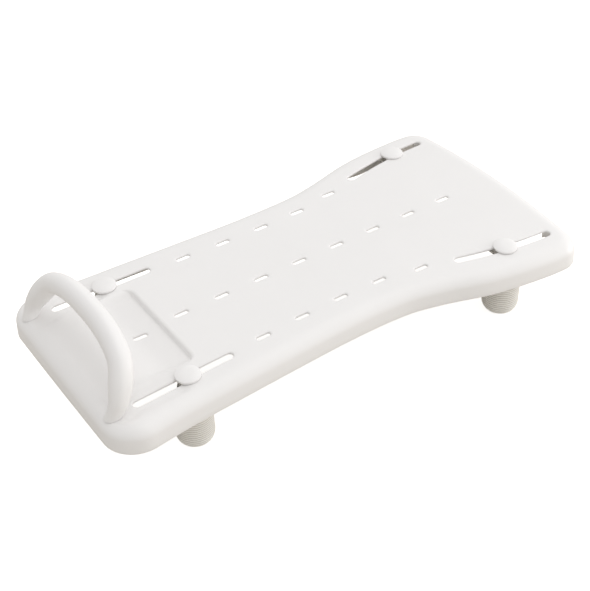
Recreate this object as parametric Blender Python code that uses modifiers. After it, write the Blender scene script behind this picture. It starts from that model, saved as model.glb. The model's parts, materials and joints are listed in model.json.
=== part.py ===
"""Bath board: a ribbed plastic seat with a soap dish, an arch handle and four sliding clamp feet.

Run with: blender --background --python part.py
Metres, +Z up. X runs along the board, Y across it, and Z = 0 is the floor under the feet.
The handle and the soap dish are at the -X end.
"""

import math

import bmesh
import bpy
from mathutils import Matrix, Vector

MM = 0.001

# Seat board, in millimetres. Heights are from the top of the seat's middle, SEAT_Z above the floor
LENGTH = 699.5
SEAT_Z = 106.4
SKIRT_DEPTH = 33.9
WALL = 3.0
RIM_LAND = 2.0
DRAFT = 0.9
ROLL_ACROSS = 22.2
ROLL_DOWN = 16.3
ROLL_STEPS = 5
LEFT_CORNER = 43.3
RIGHT_CORNER = 34.1
LEFT_BOW = 0.00003
RIGHT_BOW = 0.00017
# Steps of the outline's half: right end, each corner, long side, left end
RIGHT_END_STEPS = 3
CORNER_STEPS = 6
SIDE_STEPS = 16
LEFT_END_STEPS = 10
# Half width of the board along X: wide ends and a waist in the middle
WIDTH_STATIONS = (
    (-352.0, 164.8), (-254.7, 153.5), (-174.7, 148.6), (-90.7, 143.9), (-4.7, 140.2),
    (77.3, 142.1), (125.3, 151.6), (197.3, 171.8), (281.3, 182.4), (342.6, 182.7),
)

# Crown of the seat: it falls away towards both ends, and at the right end towards both sides too
CROWN_MIDDLE_X = -4.7
END_DROP_CURVE = 2.16e-5
SIDE_DROP_CURVE = 9.41e-7
SIDE_DROP_START = 15.3
SIDE_DROP_EASE = 80.0
FLAT_LINES_Y = (45.0, 112.0, 150.0)

# Drain slots, in millimetres
SLOT_PITCH = 60.0
FIRST_SLOT_X = -234.6
CENTRE_SLOTS = 9
SIDE_SLOTS = 5
SIDE_SLOT_INSET = 45.8
DRAIN_LENGTH = 24.0
DRAIN_WIDTH = 9.6
CUT_LOW = -32.0
CUT_HIGH = 10.0

# Foot slots, in millimetres
FOOT_SLOT_WIDTH = 11.0
LEFT_SLOT = ((-302.9, 109.6), (-162.4, 104.9))
RIGHT_SLOT = ((171.3, 119.0), (316.5, 141.3))
RIGHT_SLOT_RADIUS = 560.0

# Soap dish and the channels beside it, in millimetres
DISH_DEPTH = 8.0
DISH_WALL_X = -204.1
DISH_WALL_RUN = 1.6
DISH_HALF_WIDTH = 85.0
DISH_FLOOR_HALF = 56.0
DISH_CORNER = 14.0
DISH_RAMP = (-284.8, -232.8)
CURL_EASE = 40.0
CHANNEL_DEPTH = 6.2
CHANNEL_Y = 107.5
CHANNEL_HALF = 15.0
CHANNEL_BANK = 9.0
CHANNEL_END_X = -230.0
CHANNEL_END_RUN = 14.0
LEG_POCKET_MORE = 4.0
LEG_POCKET_X = -300.5

# Stiffening under the seat, in millimetres
RIB_THICK = 2.4
LONG_RIB_BOTTOM = 13.0
CROSS_RIB_BOTTOM = 9.0
INNER_RIB_Y = 50.0
OUTER_RIB_Y = 80.0
LONG_RIB_ENDS = (-332.0, 334.0)
OUTER_RIB_START = 150.0
CROSS_RIB_REACH = (76.0, 160.0, 81.0)
RAIL_OFFSET = 22.2
RAIL_THICK = 2.6
RAIL_BOTTOM = 12.0
PLATE_BITE = 6.0
CORE_SINK = 1.2
CORE_BOTTOM = -60.0

# Arch handle, in millimetres
ARCH_BASE_X = -329.0
ARCH_LEAN = 0.53
ARCH_KNOTS = ((-112.5, -14.0), (-113.2, 17.1), (-84.8, 53.5), (0.0, 66.0))
ARCH_TOP_SECTION = (28.7, 27.5)
ARCH_BASE_SECTION = (19.4, 17.0)
ARCH_SECTIONS = 28
ARCH_SIDES = 14
ARCH_SEAT_Z = -8.1
LEG_Y = 112.2
LEG_BORE_RADIUS = 2.6
SCREW_HOLE_RADIUS = 2.8

# Clamp feet, in millimetres, with heights from the seat's surface at the foot
DISC_RADIUS = 16.2
DISC_LIFT = 0.6
DISC_THICK = 5.2
DISC_DOME = ((0.0, 0.0), (9.0, 0.4), (13.6, 1.5), (DISC_RADIUS, 3.6))
DISC_HOLLOW = (8.0, 3.9)
BOLT_RADIUS = 4.0
BOLT_END = 62.0
BOLT_HEAD_FLATS = 13.0
BOLT_HEAD = (0.8, 3.8)
BORE_RADIUS = 4.4
BLOCK_LENGTH = 20.0
BLOCK_WIDTH = 10.2
BLOCK_HEIGHT = (-11.6, 0.1)
GRIP_RADIUS = 26.0
GRIP_THICK = 1.6
GRIP_BORE = 7.5
FOOT_RADIUS = 25.0
FOOT_FILLET = 17.0
CORE_NECK = 22.4
CORE_WALL = 4.6
NUT_DEPTH = 7.2
RING_PITCH = 3.9
RING_RISE = 1.1
SLEEVE_TOP = 46.0
GAP = 0.3
ROUND_STEPS = 16
FOOT_STEPS = 14
# Rest place of each foot along the board, and the name of its slot
FOOT_PLACES = (
    ("front_left", -226.6), ("rear_left", -228.2), ("front_right", 243.8), ("rear_right", 261.4),
)

WHITE = (0.83, 0.83, 0.82)
RUBBER = (0.66, 0.63, 0.57)
STEEL = (0.62, 0.63, 0.64)
GREY = (0.55, 0.55, 0.54)


def clear_scene():
    """Remove whatever the open file holds."""
    for item in list(bpy.data.objects):
        bpy.data.objects.remove(item, do_unlink=True)
    for group in list(bpy.data.collections):
        bpy.data.collections.remove(group)


def new_collection(name):
    group = bpy.data.collections.new(name)
    bpy.context.scene.collection.children.link(group)
    return group


def new_material(name, colour, roughness, metallic=0.0):
    """One finish: colour, roughness and metallic on a Principled shader."""
    material = bpy.data.materials.new(name)
    material.use_nodes = True
    shader = next(n for n in material.node_tree.nodes if n.type == "BSDF_PRINCIPLED")
    shader.inputs["Base Color"].default_value = (*colour, 1.0)
    shader.inputs["Roughness"].default_value = roughness
    shader.inputs["Metallic"].default_value = metallic
    material.diffuse_color = (*colour, 1.0)
    return material


def new_object(name, mesh, group, material=None, smooth_angle=40.0):
    """Link a mesh as a named object, smooth where its faces meet at a shallow angle."""
    item = bpy.data.objects.new(name, mesh)
    group.objects.link(item)
    if material is not None:
        mesh.materials.append(material)
    mesh.shade_smooth()
    mesh.set_sharp_from_angle(angle=math.radians(smooth_angle))
    return item


def mesh_from(bm, name):
    bmesh.ops.recalc_face_normals(bm, faces=bm.faces)
    mesh = bpy.data.meshes.new(name)
    bm.to_mesh(mesh)
    bm.free()
    return mesh


def as_cutter(item):
    item.hide_render = True
    item.display_type = "WIRE"
    return item


def boolean(item, operation, cutter):
    step = item.modifiers.new(f"{operation.lower()} {cutter.name}", "BOOLEAN")
    step.operation = operation
    step.solver = "EXACT"
    step.object = cutter
    return step


def turned(name, profile, steps, group, material):
    """Revolve a (radius, height) profile in millimetres, listed down its outer side."""
    mesh = bpy.data.meshes.new(name)
    closed = profile[0][0] > 0.0
    count = len(profile)
    edges = [(i, i + 1) for i in range(count - 1)]
    if closed:
        edges.append((count - 1, 0))
    mesh.from_pydata([(r * MM, 0.0, z * MM) for r, z in profile], edges, [])
    item = bpy.data.objects.new(name, mesh)
    group.objects.link(item)
    mesh.materials.append(material)
    screw = item.modifiers.new("turn", "SCREW")
    screw.steps = steps
    screw.render_steps = steps
    screw.use_merge_vertices = True
    screw.merge_threshold = 0.00001
    screw.use_smooth_shade = True
    return item


def prism(bm, outline, low, high):
    """Add an upright prism to a bmesh, from a plan outline and two heights in millimetres."""
    base = [bm.verts.new((x * MM, y * MM, low * MM)) for x, y in outline]
    face = bm.faces.new(base)
    raised = bmesh.ops.extrude_face_region(bm, geom=[face])
    moved = [v for v in raised["geom"] if isinstance(v, bmesh.types.BMVert)]
    bmesh.ops.translate(bm, vec=(0.0, 0.0, (high - low) * MM), verts=moved)


def smooth_step(value):
    """Ease from 0 to 1, flat at both ends."""
    t = min(1.0, max(0.0, value))
    return t * t * (3.0 - 2.0 * t)


# Plan and crown of the board


def crown(x, y):
    """Height of the plain seat at a plan point, from the top of its middle."""
    ease = min(1.0, max(0.0, (x - SIDE_DROP_START) / SIDE_DROP_EASE))
    run = 0.5 * SIDE_DROP_EASE * ease * ease + max(0.0, x - SIDE_DROP_START - SIDE_DROP_EASE)
    return -END_DROP_CURVE * (x - CROWN_MIDDLE_X) ** 2 - SIDE_DROP_CURVE * run * y * y


def travel_plane(end):
    """The plane in which a pair of feet travels: a point above the slots and its slope along X."""
    (x0, y0), (x1, y1) = LEFT_SLOT if end == "left" else RIGHT_SLOT
    low, high = crown(x0, y0), crown(x1, y1)
    return (x0 + x1) / 2.0, (low + high) / 2.0, (high - low) / (x1 - x0)


def travel_height(end, x):
    """Height of the travel plane at a place along the board."""
    middle, height, slope = travel_plane(end)
    return height + slope * (x - middle)


def half_width(x):
    """Half width of the board at x, on a cubic curve through the stations."""
    stations = WIDTH_STATIONS
    last = len(stations) - 1
    x = min(max(x, stations[0][0]), stations[last][0])
    k = max(i for i in range(last) if stations[i][0] <= x)

    def slope(i):
        low = stations[max(i - 1, 0)]
        high = stations[min(i + 1, last)]
        return (high[1] - low[1]) / (high[0] - low[0])

    (x0, y0), (x1, y1) = stations[k], stations[k + 1]
    span = x1 - x0
    t = (x - x0) / span
    rise0, rise1 = slope(k) * span, slope(k + 1) * span
    return (
        y0 * (1 + 2 * t) * (1 - t) ** 2 + rise0 * t * (1 - t) ** 2
        + y1 * t * t * (3 - 2 * t) + rise1 * t * t * (t - 1)
    )


def side_angle(x):
    """Angle of the long side at x."""
    return math.atan((half_width(x + 1.0) - half_width(x - 1.0)) / 2.0)


def corner(end):
    """Centre of a corner arc that touches the end curve and the long side, with its two angles."""
    bow, radius = (RIGHT_BOW, RIGHT_CORNER) if end > 0.0 else (LEFT_BOW, LEFT_CORNER)
    cx = end * (LENGTH / 2.0 - radius)
    cy = half_width(cx) - radius
    for _ in range(30):
        tilt = side_angle(cx)
        turn = math.atan(2.0 * bow * (cy + radius * math.sin(0.1)))
        touch_x = cx - radius * math.sin(tilt)
        cy = half_width(touch_x) - radius * math.cos(tilt)
        touch_y = cy + radius * math.sin(turn)
        cx = end * (LENGTH / 2.0 - bow * touch_y * touch_y - radius * math.cos(turn))
    return cx, cy, turn, tilt


def board_plan():
    """Points round the board with their outward directions, starting at the +X end."""
    half = []
    cx, cy, turn, tilt = corner(1.0)
    for i in range(RIGHT_END_STEPS):
        y = (cy + RIGHT_CORNER * math.sin(turn)) * i / RIGHT_END_STEPS
        half.append((LENGTH / 2.0 - RIGHT_BOW * y * y, y, math.atan(2.0 * RIGHT_BOW * y)))
    for i in range(CORNER_STEPS + 1):
        angle = turn + (math.pi / 2.0 + tilt - turn) * i / CORNER_STEPS
        half.append((cx + RIGHT_CORNER * math.cos(angle), cy + RIGHT_CORNER * math.sin(angle), angle))
    right_x = half[-1][0]
    cx, cy, turn, tilt = corner(-1.0)
    left_x = cx - LEFT_CORNER * math.sin(tilt)
    for i in range(1, SIDE_STEPS):
        x = right_x + (left_x - right_x) * i / SIDE_STEPS
        half.append((x, half_width(x), math.pi / 2.0 + side_angle(x)))
    for i in range(CORNER_STEPS + 1):
        angle = math.pi / 2.0 + tilt + (math.pi / 2.0 - turn - tilt) * i / CORNER_STEPS
        half.append((cx + LEFT_CORNER * math.cos(angle), cy + LEFT_CORNER * math.sin(angle), angle))
    end_y = half[-1][1]
    for i in range(1, LEFT_END_STEPS + 1):
        y = end_y * (1.0 - i / LEFT_END_STEPS)
        lean = math.atan(2.0 * LEFT_BOW * y)
        half.append((-LENGTH / 2.0 + LEFT_BOW * y * y, y, math.pi - lean))
    other = [(x, -y, -angle) for x, y, angle in reversed(half[1:-1])]
    return half + other


# Relief of the seat at the handle end


def dish_wall_x(y):
    """The dish's upright wall runs straight across and curls round at both corners."""
    over = abs(y) - (DISH_HALF_WIDTH - DISH_CORNER)
    if over <= 0.0:
        return DISH_WALL_X
    over = min(over, DISH_CORNER)
    return DISH_WALL_X - (DISH_CORNER - math.sqrt(DISH_CORNER ** 2 - over ** 2))


def dish_share(x, y):
    """How far the seat sinks into the dish: 1 on its floor, 0 outside."""
    low, high = DISH_RAMP
    along = smooth_step((x - low) / (high - low))
    across = 1.0 - smooth_step((abs(y) - DISH_FLOOR_HALF) / (DISH_HALF_WIDTH - DISH_FLOOR_HALF))
    wall = smooth_step((dish_wall_x(y) - x) / DISH_WALL_RUN + 0.5)
    return along * across * wall


def channel_share(x, y):
    """How far the seat sinks into the channel beside the dish, wider where a handle leg stands."""
    half = CHANNEL_HALF + LEG_POCKET_MORE * smooth_step((LEG_POCKET_X - x) / CHANNEL_END_RUN)
    across = 1.0 - smooth_step((abs(abs(y) - CHANNEL_Y) - half) / CHANNEL_BANK)
    along = smooth_step((CHANNEL_END_X - x) / CHANNEL_END_RUN)
    return across * along


def seat_height(x, y, edge_z):
    """Height of the seat's relief at a plan point, given the height of the plain board there."""
    dish = dish_share(x, y)
    channel = channel_share(x, y)
    height = edge_z * (1.0 - dish) - DISH_DEPTH * dish
    height = min(height, height * (1.0 - channel) - CHANNEL_DEPTH * channel)
    return height


def relief_lines():
    """Plan lines at which the flat of the seat is divided so that it can follow the relief."""
    half_run = DISH_WALL_RUN / 2.0
    xs = [-316.0, -304.0, -288.0, -274.0, -261.0, -249.0, -240.0, -233.0, -226.0, -216.0]
    xs += [DISH_WALL_X - half_run, DISH_WALL_X + half_run]
    ys = [56.0, 63.5, 70.5, 76.5, 80.5, 84.5, 88.5, 92.5, 107.5, 122.5, 127.0]
    return xs, [-y for y in reversed(ys)] + ys


def skin_profile(sink):
    """Inset and height of each ring of the edge, from the rim of the skirt up to the flat."""
    rings = [(sink, -SKIRT_DEPTH), (sink, -SKIRT_DEPTH + RIM_LAND), (sink + DRAFT, -ROLL_DOWN)]
    for i in range(1, ROLL_STEPS + 1):
        angle = 0.5 * math.pi * i / ROLL_STEPS
        inset = DRAFT + ROLL_ACROSS * (1.0 - math.cos(angle))
        rings.append((sink + inset, -ROLL_DOWN * (1.0 - math.sin(angle)) - sink))
    return rings


def skin_mesh(name, sink=0.0, closed=False):
    """The board's upper skin: skirt, rolled edge and seat, as one open surface or closed below."""
    bm = bmesh.new()
    plan = board_plan()
    loops = []
    for inset, z in skin_profile(sink):
        ring = []
        for x, y, angle in plan:
            px, py = x - inset * math.cos(angle), y - inset * math.sin(angle)
            ring.append(bm.verts.new((px * MM, py * MM, z * MM)))
        loops.append(ring)
    count = len(plan)
    for low, high in zip(loops, loops[1:]):
        for i in range(count):
            j = (i + 1) % count
            bm.faces.new((low[i], low[j], high[j], high[i]))
    top = bm.faces.new(loops[-1])
    divide_flat(bm, top, -sink)
    shape_relief(bm, sink)
    for vert in bm.verts:
        vert.co.z += crown(vert.co.x / MM, vert.co.y / MM) * MM
    if closed:
        for vert in loops[0]:
            vert.co.z = CORE_BOTTOM * MM
        bm.faces.new(list(reversed(loops[0])))
    bmesh.ops.triangulate(bm, faces=[f for f in bm.faces if len(f.verts) > 4])
    return mesh_from(bm, name)


def divide_flat(bm, top, level):
    """Cut the flat of the seat: closely at the handle end, and widely where it is only crowned."""
    xs, ys = relief_lines()
    limit = DISH_WALL_X + 6.0

    def flat_faces(side):
        return [
            f for f in bm.faces
            if all(abs(v.co.z - level * MM) < 1e-7 for v in f.verts)
            and (f.calc_center_median().x - limit * MM) * side > 0.0
        ]

    def cut(faces, point, normal):
        geom = faces + list({e for f in faces for e in f.edges})
        geom += list({v for f in faces for v in f.verts})
        bmesh.ops.bisect_plane(bm, geom=geom, dist=1e-6, plane_co=point, plane_no=normal)

    cut([top], (limit * MM, 0.0, 0.0), (1.0, 0.0, 0.0))
    for x in xs:
        cut(flat_faces(-1.0), (x * MM, 0.0, 0.0), (1.0, 0.0, 0.0))
    for y in ys:
        cut(flat_faces(-1.0), (0.0, y * MM, 0.0), (0.0, 1.0, 0.0))
    for k in range(0, CENTRE_SLOTS, 2):
        cut(flat_faces(1.0), (between_slots(k) * MM, 0.0, 0.0), (1.0, 0.0, 0.0))
    for y in FLAT_LINES_Y:
        for side in (-1.0, 1.0):
            cut(flat_faces(1.0), (0.0, side * y * MM, 0.0), (0.0, 1.0, 0.0))


def shape_relief(bm, sink):
    """Bend the divided seat to the dish, its curled wall and the two channels."""
    ease_x = DISH_WALL_X - CURL_EASE
    span = CURL_EASE - DISH_WALL_RUN / 2.0
    for vert in bm.verts:
        x, y, z = vert.co / MM
        if z < -ROLL_DOWN + 0.1 or x > DISH_WALL_X + DISH_WALL_RUN:
            continue
        if x > ease_x:
            curl = dish_wall_x(y) - DISH_WALL_X
            x += curl * min(1.0, (x - ease_x) / span)
            vert.co.x = x * MM
        vert.co.z = (seat_height(x, y, z + sink) - sink) * MM


# Slots and ribs


def between_slots(k):
    """Place along the board half way between two drain slots of the middle row."""
    return FIRST_SLOT_X + SLOT_PITCH * (k + 0.5)


def arc_centre(start, end, radius):
    """Centre of the shallow arc through two points, on the side of the board's centre line."""
    mid = (Vector(start) + Vector(end)) / 2.0
    chord = Vector(end) - Vector(start)
    reach = math.sqrt(radius ** 2 - (chord.length / 2.0) ** 2)
    return mid + Vector((chord.y, -chord.x)).normalized() * reach


def slot_line(side, end, inset, steps):
    """Points with directions along one foot slot's middle, its two tips left out by an inset."""
    if end == "left":
        start, stop = Vector(LEFT_SLOT[0]), Vector(LEFT_SLOT[1])
        along = (stop - start).normalized()
        reach = (stop - start).length - 2.0 * inset
        line = [(start + along * (inset + reach * i / steps), along) for i in range(steps + 1)]
    else:
        centre = arc_centre(*RIGHT_SLOT, RIGHT_SLOT_RADIUS)
        first = (Vector(RIGHT_SLOT[0]) - centre)
        last = (Vector(RIGHT_SLOT[1]) - centre)
        a0 = math.atan2(first.y, first.x) - inset / RIGHT_SLOT_RADIUS
        a1 = math.atan2(last.y, last.x) + inset / RIGHT_SLOT_RADIUS
        line = []
        for i in range(steps + 1):
            angle = a0 + (a1 - a0) * i / steps
            out = Vector((math.cos(angle), math.sin(angle)))
            line.append((centre + out * RIGHT_SLOT_RADIUS, Vector((out.y, -out.x))))
    return [(Vector((p.x, p.y * side)), Vector((d.x, d.y * side))) for p, d in line]


def stadium(line, width, tip_steps=6):
    """Outline of a slot: a line of points given a width and round tips."""
    half = width / 2.0
    outline = []
    for point, along in line:
        outline.append(point + Vector((along.y, -along.x)) * half)
    for tip, sign in ((line[-1], 1.0), (line[0], -1.0)):
        point, along = tip[0], tip[1] * sign
        side = Vector((along.y, -along.x))
        for i in range(1, tip_steps):
            angle = math.pi * i / tip_steps
            outline.append(point + side * half * math.cos(angle) + along * half * math.sin(angle))
        if sign > 0:
            for back, direction in reversed(line):
                outline.append(back - Vector((direction.y, -direction.x)) * half)
    return [(p.x, p.y) for p in outline]


def foot_slot_outline(side, end):
    inset = FOOT_SLOT_WIDTH / 2.0
    steps = 1 if end == "left" else 6
    return stadium(slot_line(side, end, inset, steps), FOOT_SLOT_WIDTH)


def drain_outline(x, y):
    reach = (DRAIN_LENGTH - DRAIN_WIDTH) / 2.0
    along = Vector((1.0, 0.0))
    return stadium([(Vector((x - reach, y)), along), (Vector((x + reach, y)), along)], DRAIN_WIDTH, 4)


def slot_cutter(group):
    """All the openings through the seat, as prisms longer than the plate and its ribs."""
    bm = bmesh.new()
    for i in range(CENTRE_SLOTS):
        prism(bm, drain_outline(FIRST_SLOT_X + SLOT_PITCH * i, 0.0), CUT_LOW, CUT_HIGH)
    for i in range(SIDE_SLOTS):
        x = FIRST_SLOT_X + SLOT_PITCH * (i + 2)
        y = half_width(x) - SIDE_SLOT_INSET
        for side in (-1.0, 1.0):
            prism(bm, drain_outline(x, side * y), CUT_LOW, CUT_HIGH)
    for side in (-1.0, 1.0):
        for end in ("left", "right"):
            prism(bm, foot_slot_outline(side, end), CUT_LOW, CUT_HIGH)
        prism(bm, round_outline(*handle_screw_place(side), SCREW_HOLE_RADIUS, 10), CUT_LOW, CUT_HIGH)
    return as_cutter(new_object("slot_cutter", mesh_from(bm, "slot_cutter"), group))


def round_outline(x, y, radius, sides):
    turn = 2.0 * math.pi / sides
    return [(x + radius * math.cos(turn * i), y + radius * math.sin(turn * i)) for i in range(sides)]


def bar(bm, x0, x1, y0, y1, bottom):
    """One straight rib, from a bottom below the seat up to above the plate."""
    prism(bm, [(x0, y0), (x1, y0), (x1, y1), (x0, y1)], -bottom, PLATE_BITE)


def rail(bm, side, end, offset):
    """One rail beside a foot slot, its lower edge along the plane in which the feet travel."""
    steps = 1 if end == "left" else 5
    line = slot_line(side, end, 0.0, steps)
    near, far = offset - RAIL_THICK / 2.0, offset + RAIL_THICK / 2.0
    outline = [p + Vector((d.y, -d.x)) * near for p, d in line]
    outline += [p + Vector((d.y, -d.x)) * far for p, d in reversed(line)]
    before = set(bm.verts)
    prism(bm, [(p.x, p.y) for p in outline], -RAIL_BOTTOM, PLATE_BITE)
    for vert in set(bm.verts) - before:
        if vert.co.z < 0.0:
            vert.co.z += travel_height(end, vert.co.x / MM) * MM


def long_ribs():
    """Ribs that run the length of the board, between the rows of slots."""
    bm = bmesh.new()
    half = RIB_THICK / 2.0
    start, stop = LONG_RIB_ENDS
    for side in (-1.0, 1.0):
        inner, outer = side * INNER_RIB_Y, side * OUTER_RIB_Y
        bar(bm, start, stop, inner - half, inner + half, LONG_RIB_BOTTOM)
        bar(bm, OUTER_RIB_START, stop, outer - half, outer + half, LONG_RIB_BOTTOM)
    return mesh_from(bm, "long_ribs")


def cross_ribs():
    """Ribs across the board, half way between slots, and short where the feet slide."""
    bm = bmesh.new()
    half = RIB_THICK / 2.0
    left_reach, middle_reach, right_reach = CROSS_RIB_REACH
    for k in range(1, CENTRE_SLOTS):
        x = between_slots(k)
        reach = left_reach if k < 2 else (middle_reach if k < 6 else right_reach)
        bar(bm, x - half, x + half, -reach, reach, CROSS_RIB_BOTTOM)
    return mesh_from(bm, "cross_ribs")


def rails():
    """A pair of rails beside each foot slot."""
    bm = bmesh.new()
    for side in (-1.0, 1.0):
        for end in ("left", "right"):
            for offset in (-RAIL_OFFSET, RAIL_OFFSET):
                rail(bm, side, end, offset)
    return mesh_from(bm, "rails")


def rib_set(cutters):
    """All the stiffening, joined and trimmed to just inside the shell."""
    core = as_cutter(new_object("rib_trim", skin_mesh("rib_trim", CORE_SINK, True), cutters))
    ribs = as_cutter(new_object("rib_set", long_ribs(), cutters))
    across = as_cutter(new_object("cross_ribs", cross_ribs(), cutters))
    beside = as_cutter(new_object("rails", rails(), cutters))
    boolean(ribs, "UNION", across)
    boolean(ribs, "UNION", beside)
    boolean(ribs, "INTERSECT", core)
    for item in (core, ribs, across, beside):
        item.location.z = SEAT_Z * MM
    return ribs


def seat_board(group, cutters, material):
    """The moulded board: an even 3 mm shell, ribbed underneath and slotted through."""
    board = new_object("seat_board", skin_mesh("seat_board"), group, material)
    ribs = rib_set(cutters)
    slots = slot_cutter(cutters)
    shell = board.modifiers.new("shell", "SOLIDIFY")
    shell.thickness = WALL * MM
    shell.offset = -1.0
    shell.use_even_offset = True
    boolean(board, "UNION", ribs)
    boolean(board, "DIFFERENCE", slots)
    for item in (board, slots):
        item.location.z = SEAT_Z * MM
    return board


# Handle


def arch_line(steps):
    """Middle line of the arch as (y, z) points with directions, from the front leg to the rear."""
    front = [Vector(knot) for knot in ARCH_KNOTS]
    knots = front + [Vector((-y, z)) for y, z in reversed(front[:-1])]
    lengths = [0.0]
    for a, b in zip(knots, knots[1:]):
        lengths.append(lengths[-1] + (b - a).length)

    def slope(k):
        low, high = max(k - 1, 0), min(k + 1, len(knots) - 1)
        return (knots[high] - knots[low]) / (lengths[high] - lengths[low])

    line = []
    for i in range(steps + 1):
        s = lengths[-1] * i / steps
        k = max(n for n in range(len(knots) - 1) if lengths[n] <= s)
        span = lengths[k + 1] - lengths[k]
        t = (s - lengths[k]) / span
        m0, m1 = slope(k) * span, slope(k + 1) * span
        point = (
            knots[k] * (1 + 2 * t) * (1 - t) ** 2 + m0 * t * (1 - t) ** 2
            + knots[k + 1] * t * t * (3 - 2 * t) + m1 * t * t * (t - 1)
        )
        direction = (
            (knots[k + 1] - knots[k]) * 6 * t * (1 - t)
            + m0 * (1 - t) * (1 - 3 * t) + m1 * t * (3 * t - 2)
        )
        line.append((point, direction.normalized()))
    return line


def arch_section(share):
    """Half width and half depth of the arch's section, from the leg (0) to the crown (1)."""
    width = ARCH_BASE_SECTION[0] + (ARCH_TOP_SECTION[0] - ARCH_BASE_SECTION[0]) * share
    depth = ARCH_BASE_SECTION[1] + (ARCH_TOP_SECTION[1] - ARCH_BASE_SECTION[1]) * share
    return width / 2.0, depth / 2.0


def handle_screw_place(side):
    """Plan place of a handle screw, under the middle of a leg."""
    return ARCH_BASE_X + ARCH_LEAN * ARCH_SEAT_Z + 1.5, side * LEG_Y


def arch_mesh():
    """Loft the arch through sections that swell towards the crown and lean over the seat."""
    up = Vector((ARCH_LEAN, 0.0, 1.0)).normalized()
    across = Vector((1.0, 0.0, -ARCH_LEAN)).normalized()
    bm = bmesh.new()
    rings = []
    for point, along in arch_line(ARCH_SECTIONS):
        share = smooth_step((point.y + 5.0) / (0.6 * ARCH_KNOTS[-1][1]))
        half_w, half_d = arch_section(share)
        centre = Vector((ARCH_BASE_X + ARCH_LEAN * point.y, point.x, point.y))
        outward = (Vector((0.0, along.y, 0.0)) * -1.0 + up * along.x).normalized()
        ring = []
        for i in range(ARCH_SIDES):
            angle = 2.0 * math.pi * i / ARCH_SIDES
            c, s = math.cos(angle), math.sin(angle)
            flat = 0.82 if s < 0.0 else 1.0
            wide = math.copysign(abs(c) ** 0.85, c) * half_w
            deep = math.copysign(abs(s) ** flat, s) * half_d
            ring.append(bm.verts.new((centre + across * wide + outward * deep) * MM))
        rings.append(ring)
    for low, high in zip(rings, rings[1:]):
        for i in range(ARCH_SIDES):
            j = (i + 1) % ARCH_SIDES
            bm.faces.new((low[i], low[j], high[j], high[i]))
    bm.faces.new(list(reversed(rings[0])))
    bm.faces.new(rings[-1])
    seat = bmesh.ops.bisect_plane(
        bm, geom=bm.verts[:] + bm.edges[:] + bm.faces[:], dist=1e-6,
        plane_co=(0.0, 0.0, ARCH_SEAT_Z * MM), plane_no=(0.0, 0.0, -1.0), clear_outer=True,
    )
    edges = [e for e in seat["geom_cut"] if isinstance(e, bmesh.types.BMEdge)]
    bmesh.ops.edgeloop_fill(bm, edges=edges)
    return mesh_from(bm, "arch_handle")


def handle(group, cutters, material, steel):
    """The arch with a screw and washer up into each leg from below."""
    arch = new_object("arch_handle", arch_mesh(), group, material)
    arch.location.z = SEAT_Z * MM
    bm = bmesh.new()
    for side in (-1.0, 1.0):
        x, y = handle_screw_place(side)
        prism(bm, round_outline(x, y, LEG_BORE_RADIUS, 10), -20.0, 8.0)
    bores = as_cutter(new_object("leg_bores", mesh_from(bm, "leg_bores"), cutters))
    bores.location.z = SEAT_Z * MM
    boolean(arch, "DIFFERENCE", bores)
    for side, word in ((-1.0, "front"), (1.0, "rear")):
        x, y = handle_screw_place(side)
        floor = SEAT_Z + crown(x, y) - CHANNEL_DEPTH - WALL
        ring = [(6.8, -GAP), (6.8, -GAP - 1.2), (2.8, -GAP - 1.2), (2.8, -GAP)]
        washer = turned(f"handle_washer_{word}", ring, 16, group, steel)
        under = -GAP * 2.0 - 1.2
        shank = [(0.0, 15.5), (2.2, 15.5), (2.2, under), (4.6, under), (4.4, under - 2.4)]
        shank += [(3.2, under - 3.2), (0.0, under - 3.2)]
        screw = turned(f"handle_screw_{word}", shank, 16, group, steel)
        for item in (washer, screw):
            item.location = (x * MM, y * MM, floor * MM)
    return arch


# Clamp feet


def foot_place(name, x):
    """Plan place of a foot's bolt and the direction of its slot there."""
    side = -1.0 if name.startswith("front") else 1.0
    if name.endswith("left"):
        start, stop = Vector(LEFT_SLOT[0]), Vector(LEFT_SLOT[1])
        along = (stop - start).normalized()
        point = start + along * ((x - start.x) / along.x)
    else:
        centre = arc_centre(*RIGHT_SLOT, RIGHT_SLOT_RADIUS)
        y = centre.y + math.sqrt(RIGHT_SLOT_RADIUS ** 2 - (x - centre.x) ** 2)
        point = Vector((x, y))
        out = (point - centre).normalized()
        along = Vector((out.y, -out.x))
    return Vector((point.x, point.y * side)), Vector((along.x, along.y * side))


def foot_frame(name, x):
    """Frame of a foot: origin on the seat at its bolt, +X along the slot, +Z square to the travel plane."""
    end = name.split("_")[1]
    point, heading = foot_place(name, x)
    slope = travel_plane(end)[2]
    up = Vector((-slope, 0.0, 1.0)).normalized()
    along = Vector((heading.x, heading.y, slope * heading.x)).normalized()
    frame = Matrix((along, up.cross(along), up)).transposed().to_4x4()
    frame.translation = Vector((point.x, point.y, SEAT_Z + travel_height(end, point.x))) * MM
    return frame


def disc_lean(frame):
    """Angle by which a disc leans sideways on its bolt to lie flat on the crowned seat."""
    x, y = frame.translation.xy / MM
    return math.atan((crown(x, y + 1.0) - crown(x, y - 1.0)) / 2.0)


def foot_length(frame):
    """Length of a foot from the seat down to the floor that its lower edge stands on."""
    up = frame.col[2].to_3d()
    lean = math.sqrt(1.0 - up.z ** 2)
    return (frame.translation.z / MM - (FOOT_RADIUS - FOOT_FILLET) * lean) / up.z


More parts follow.
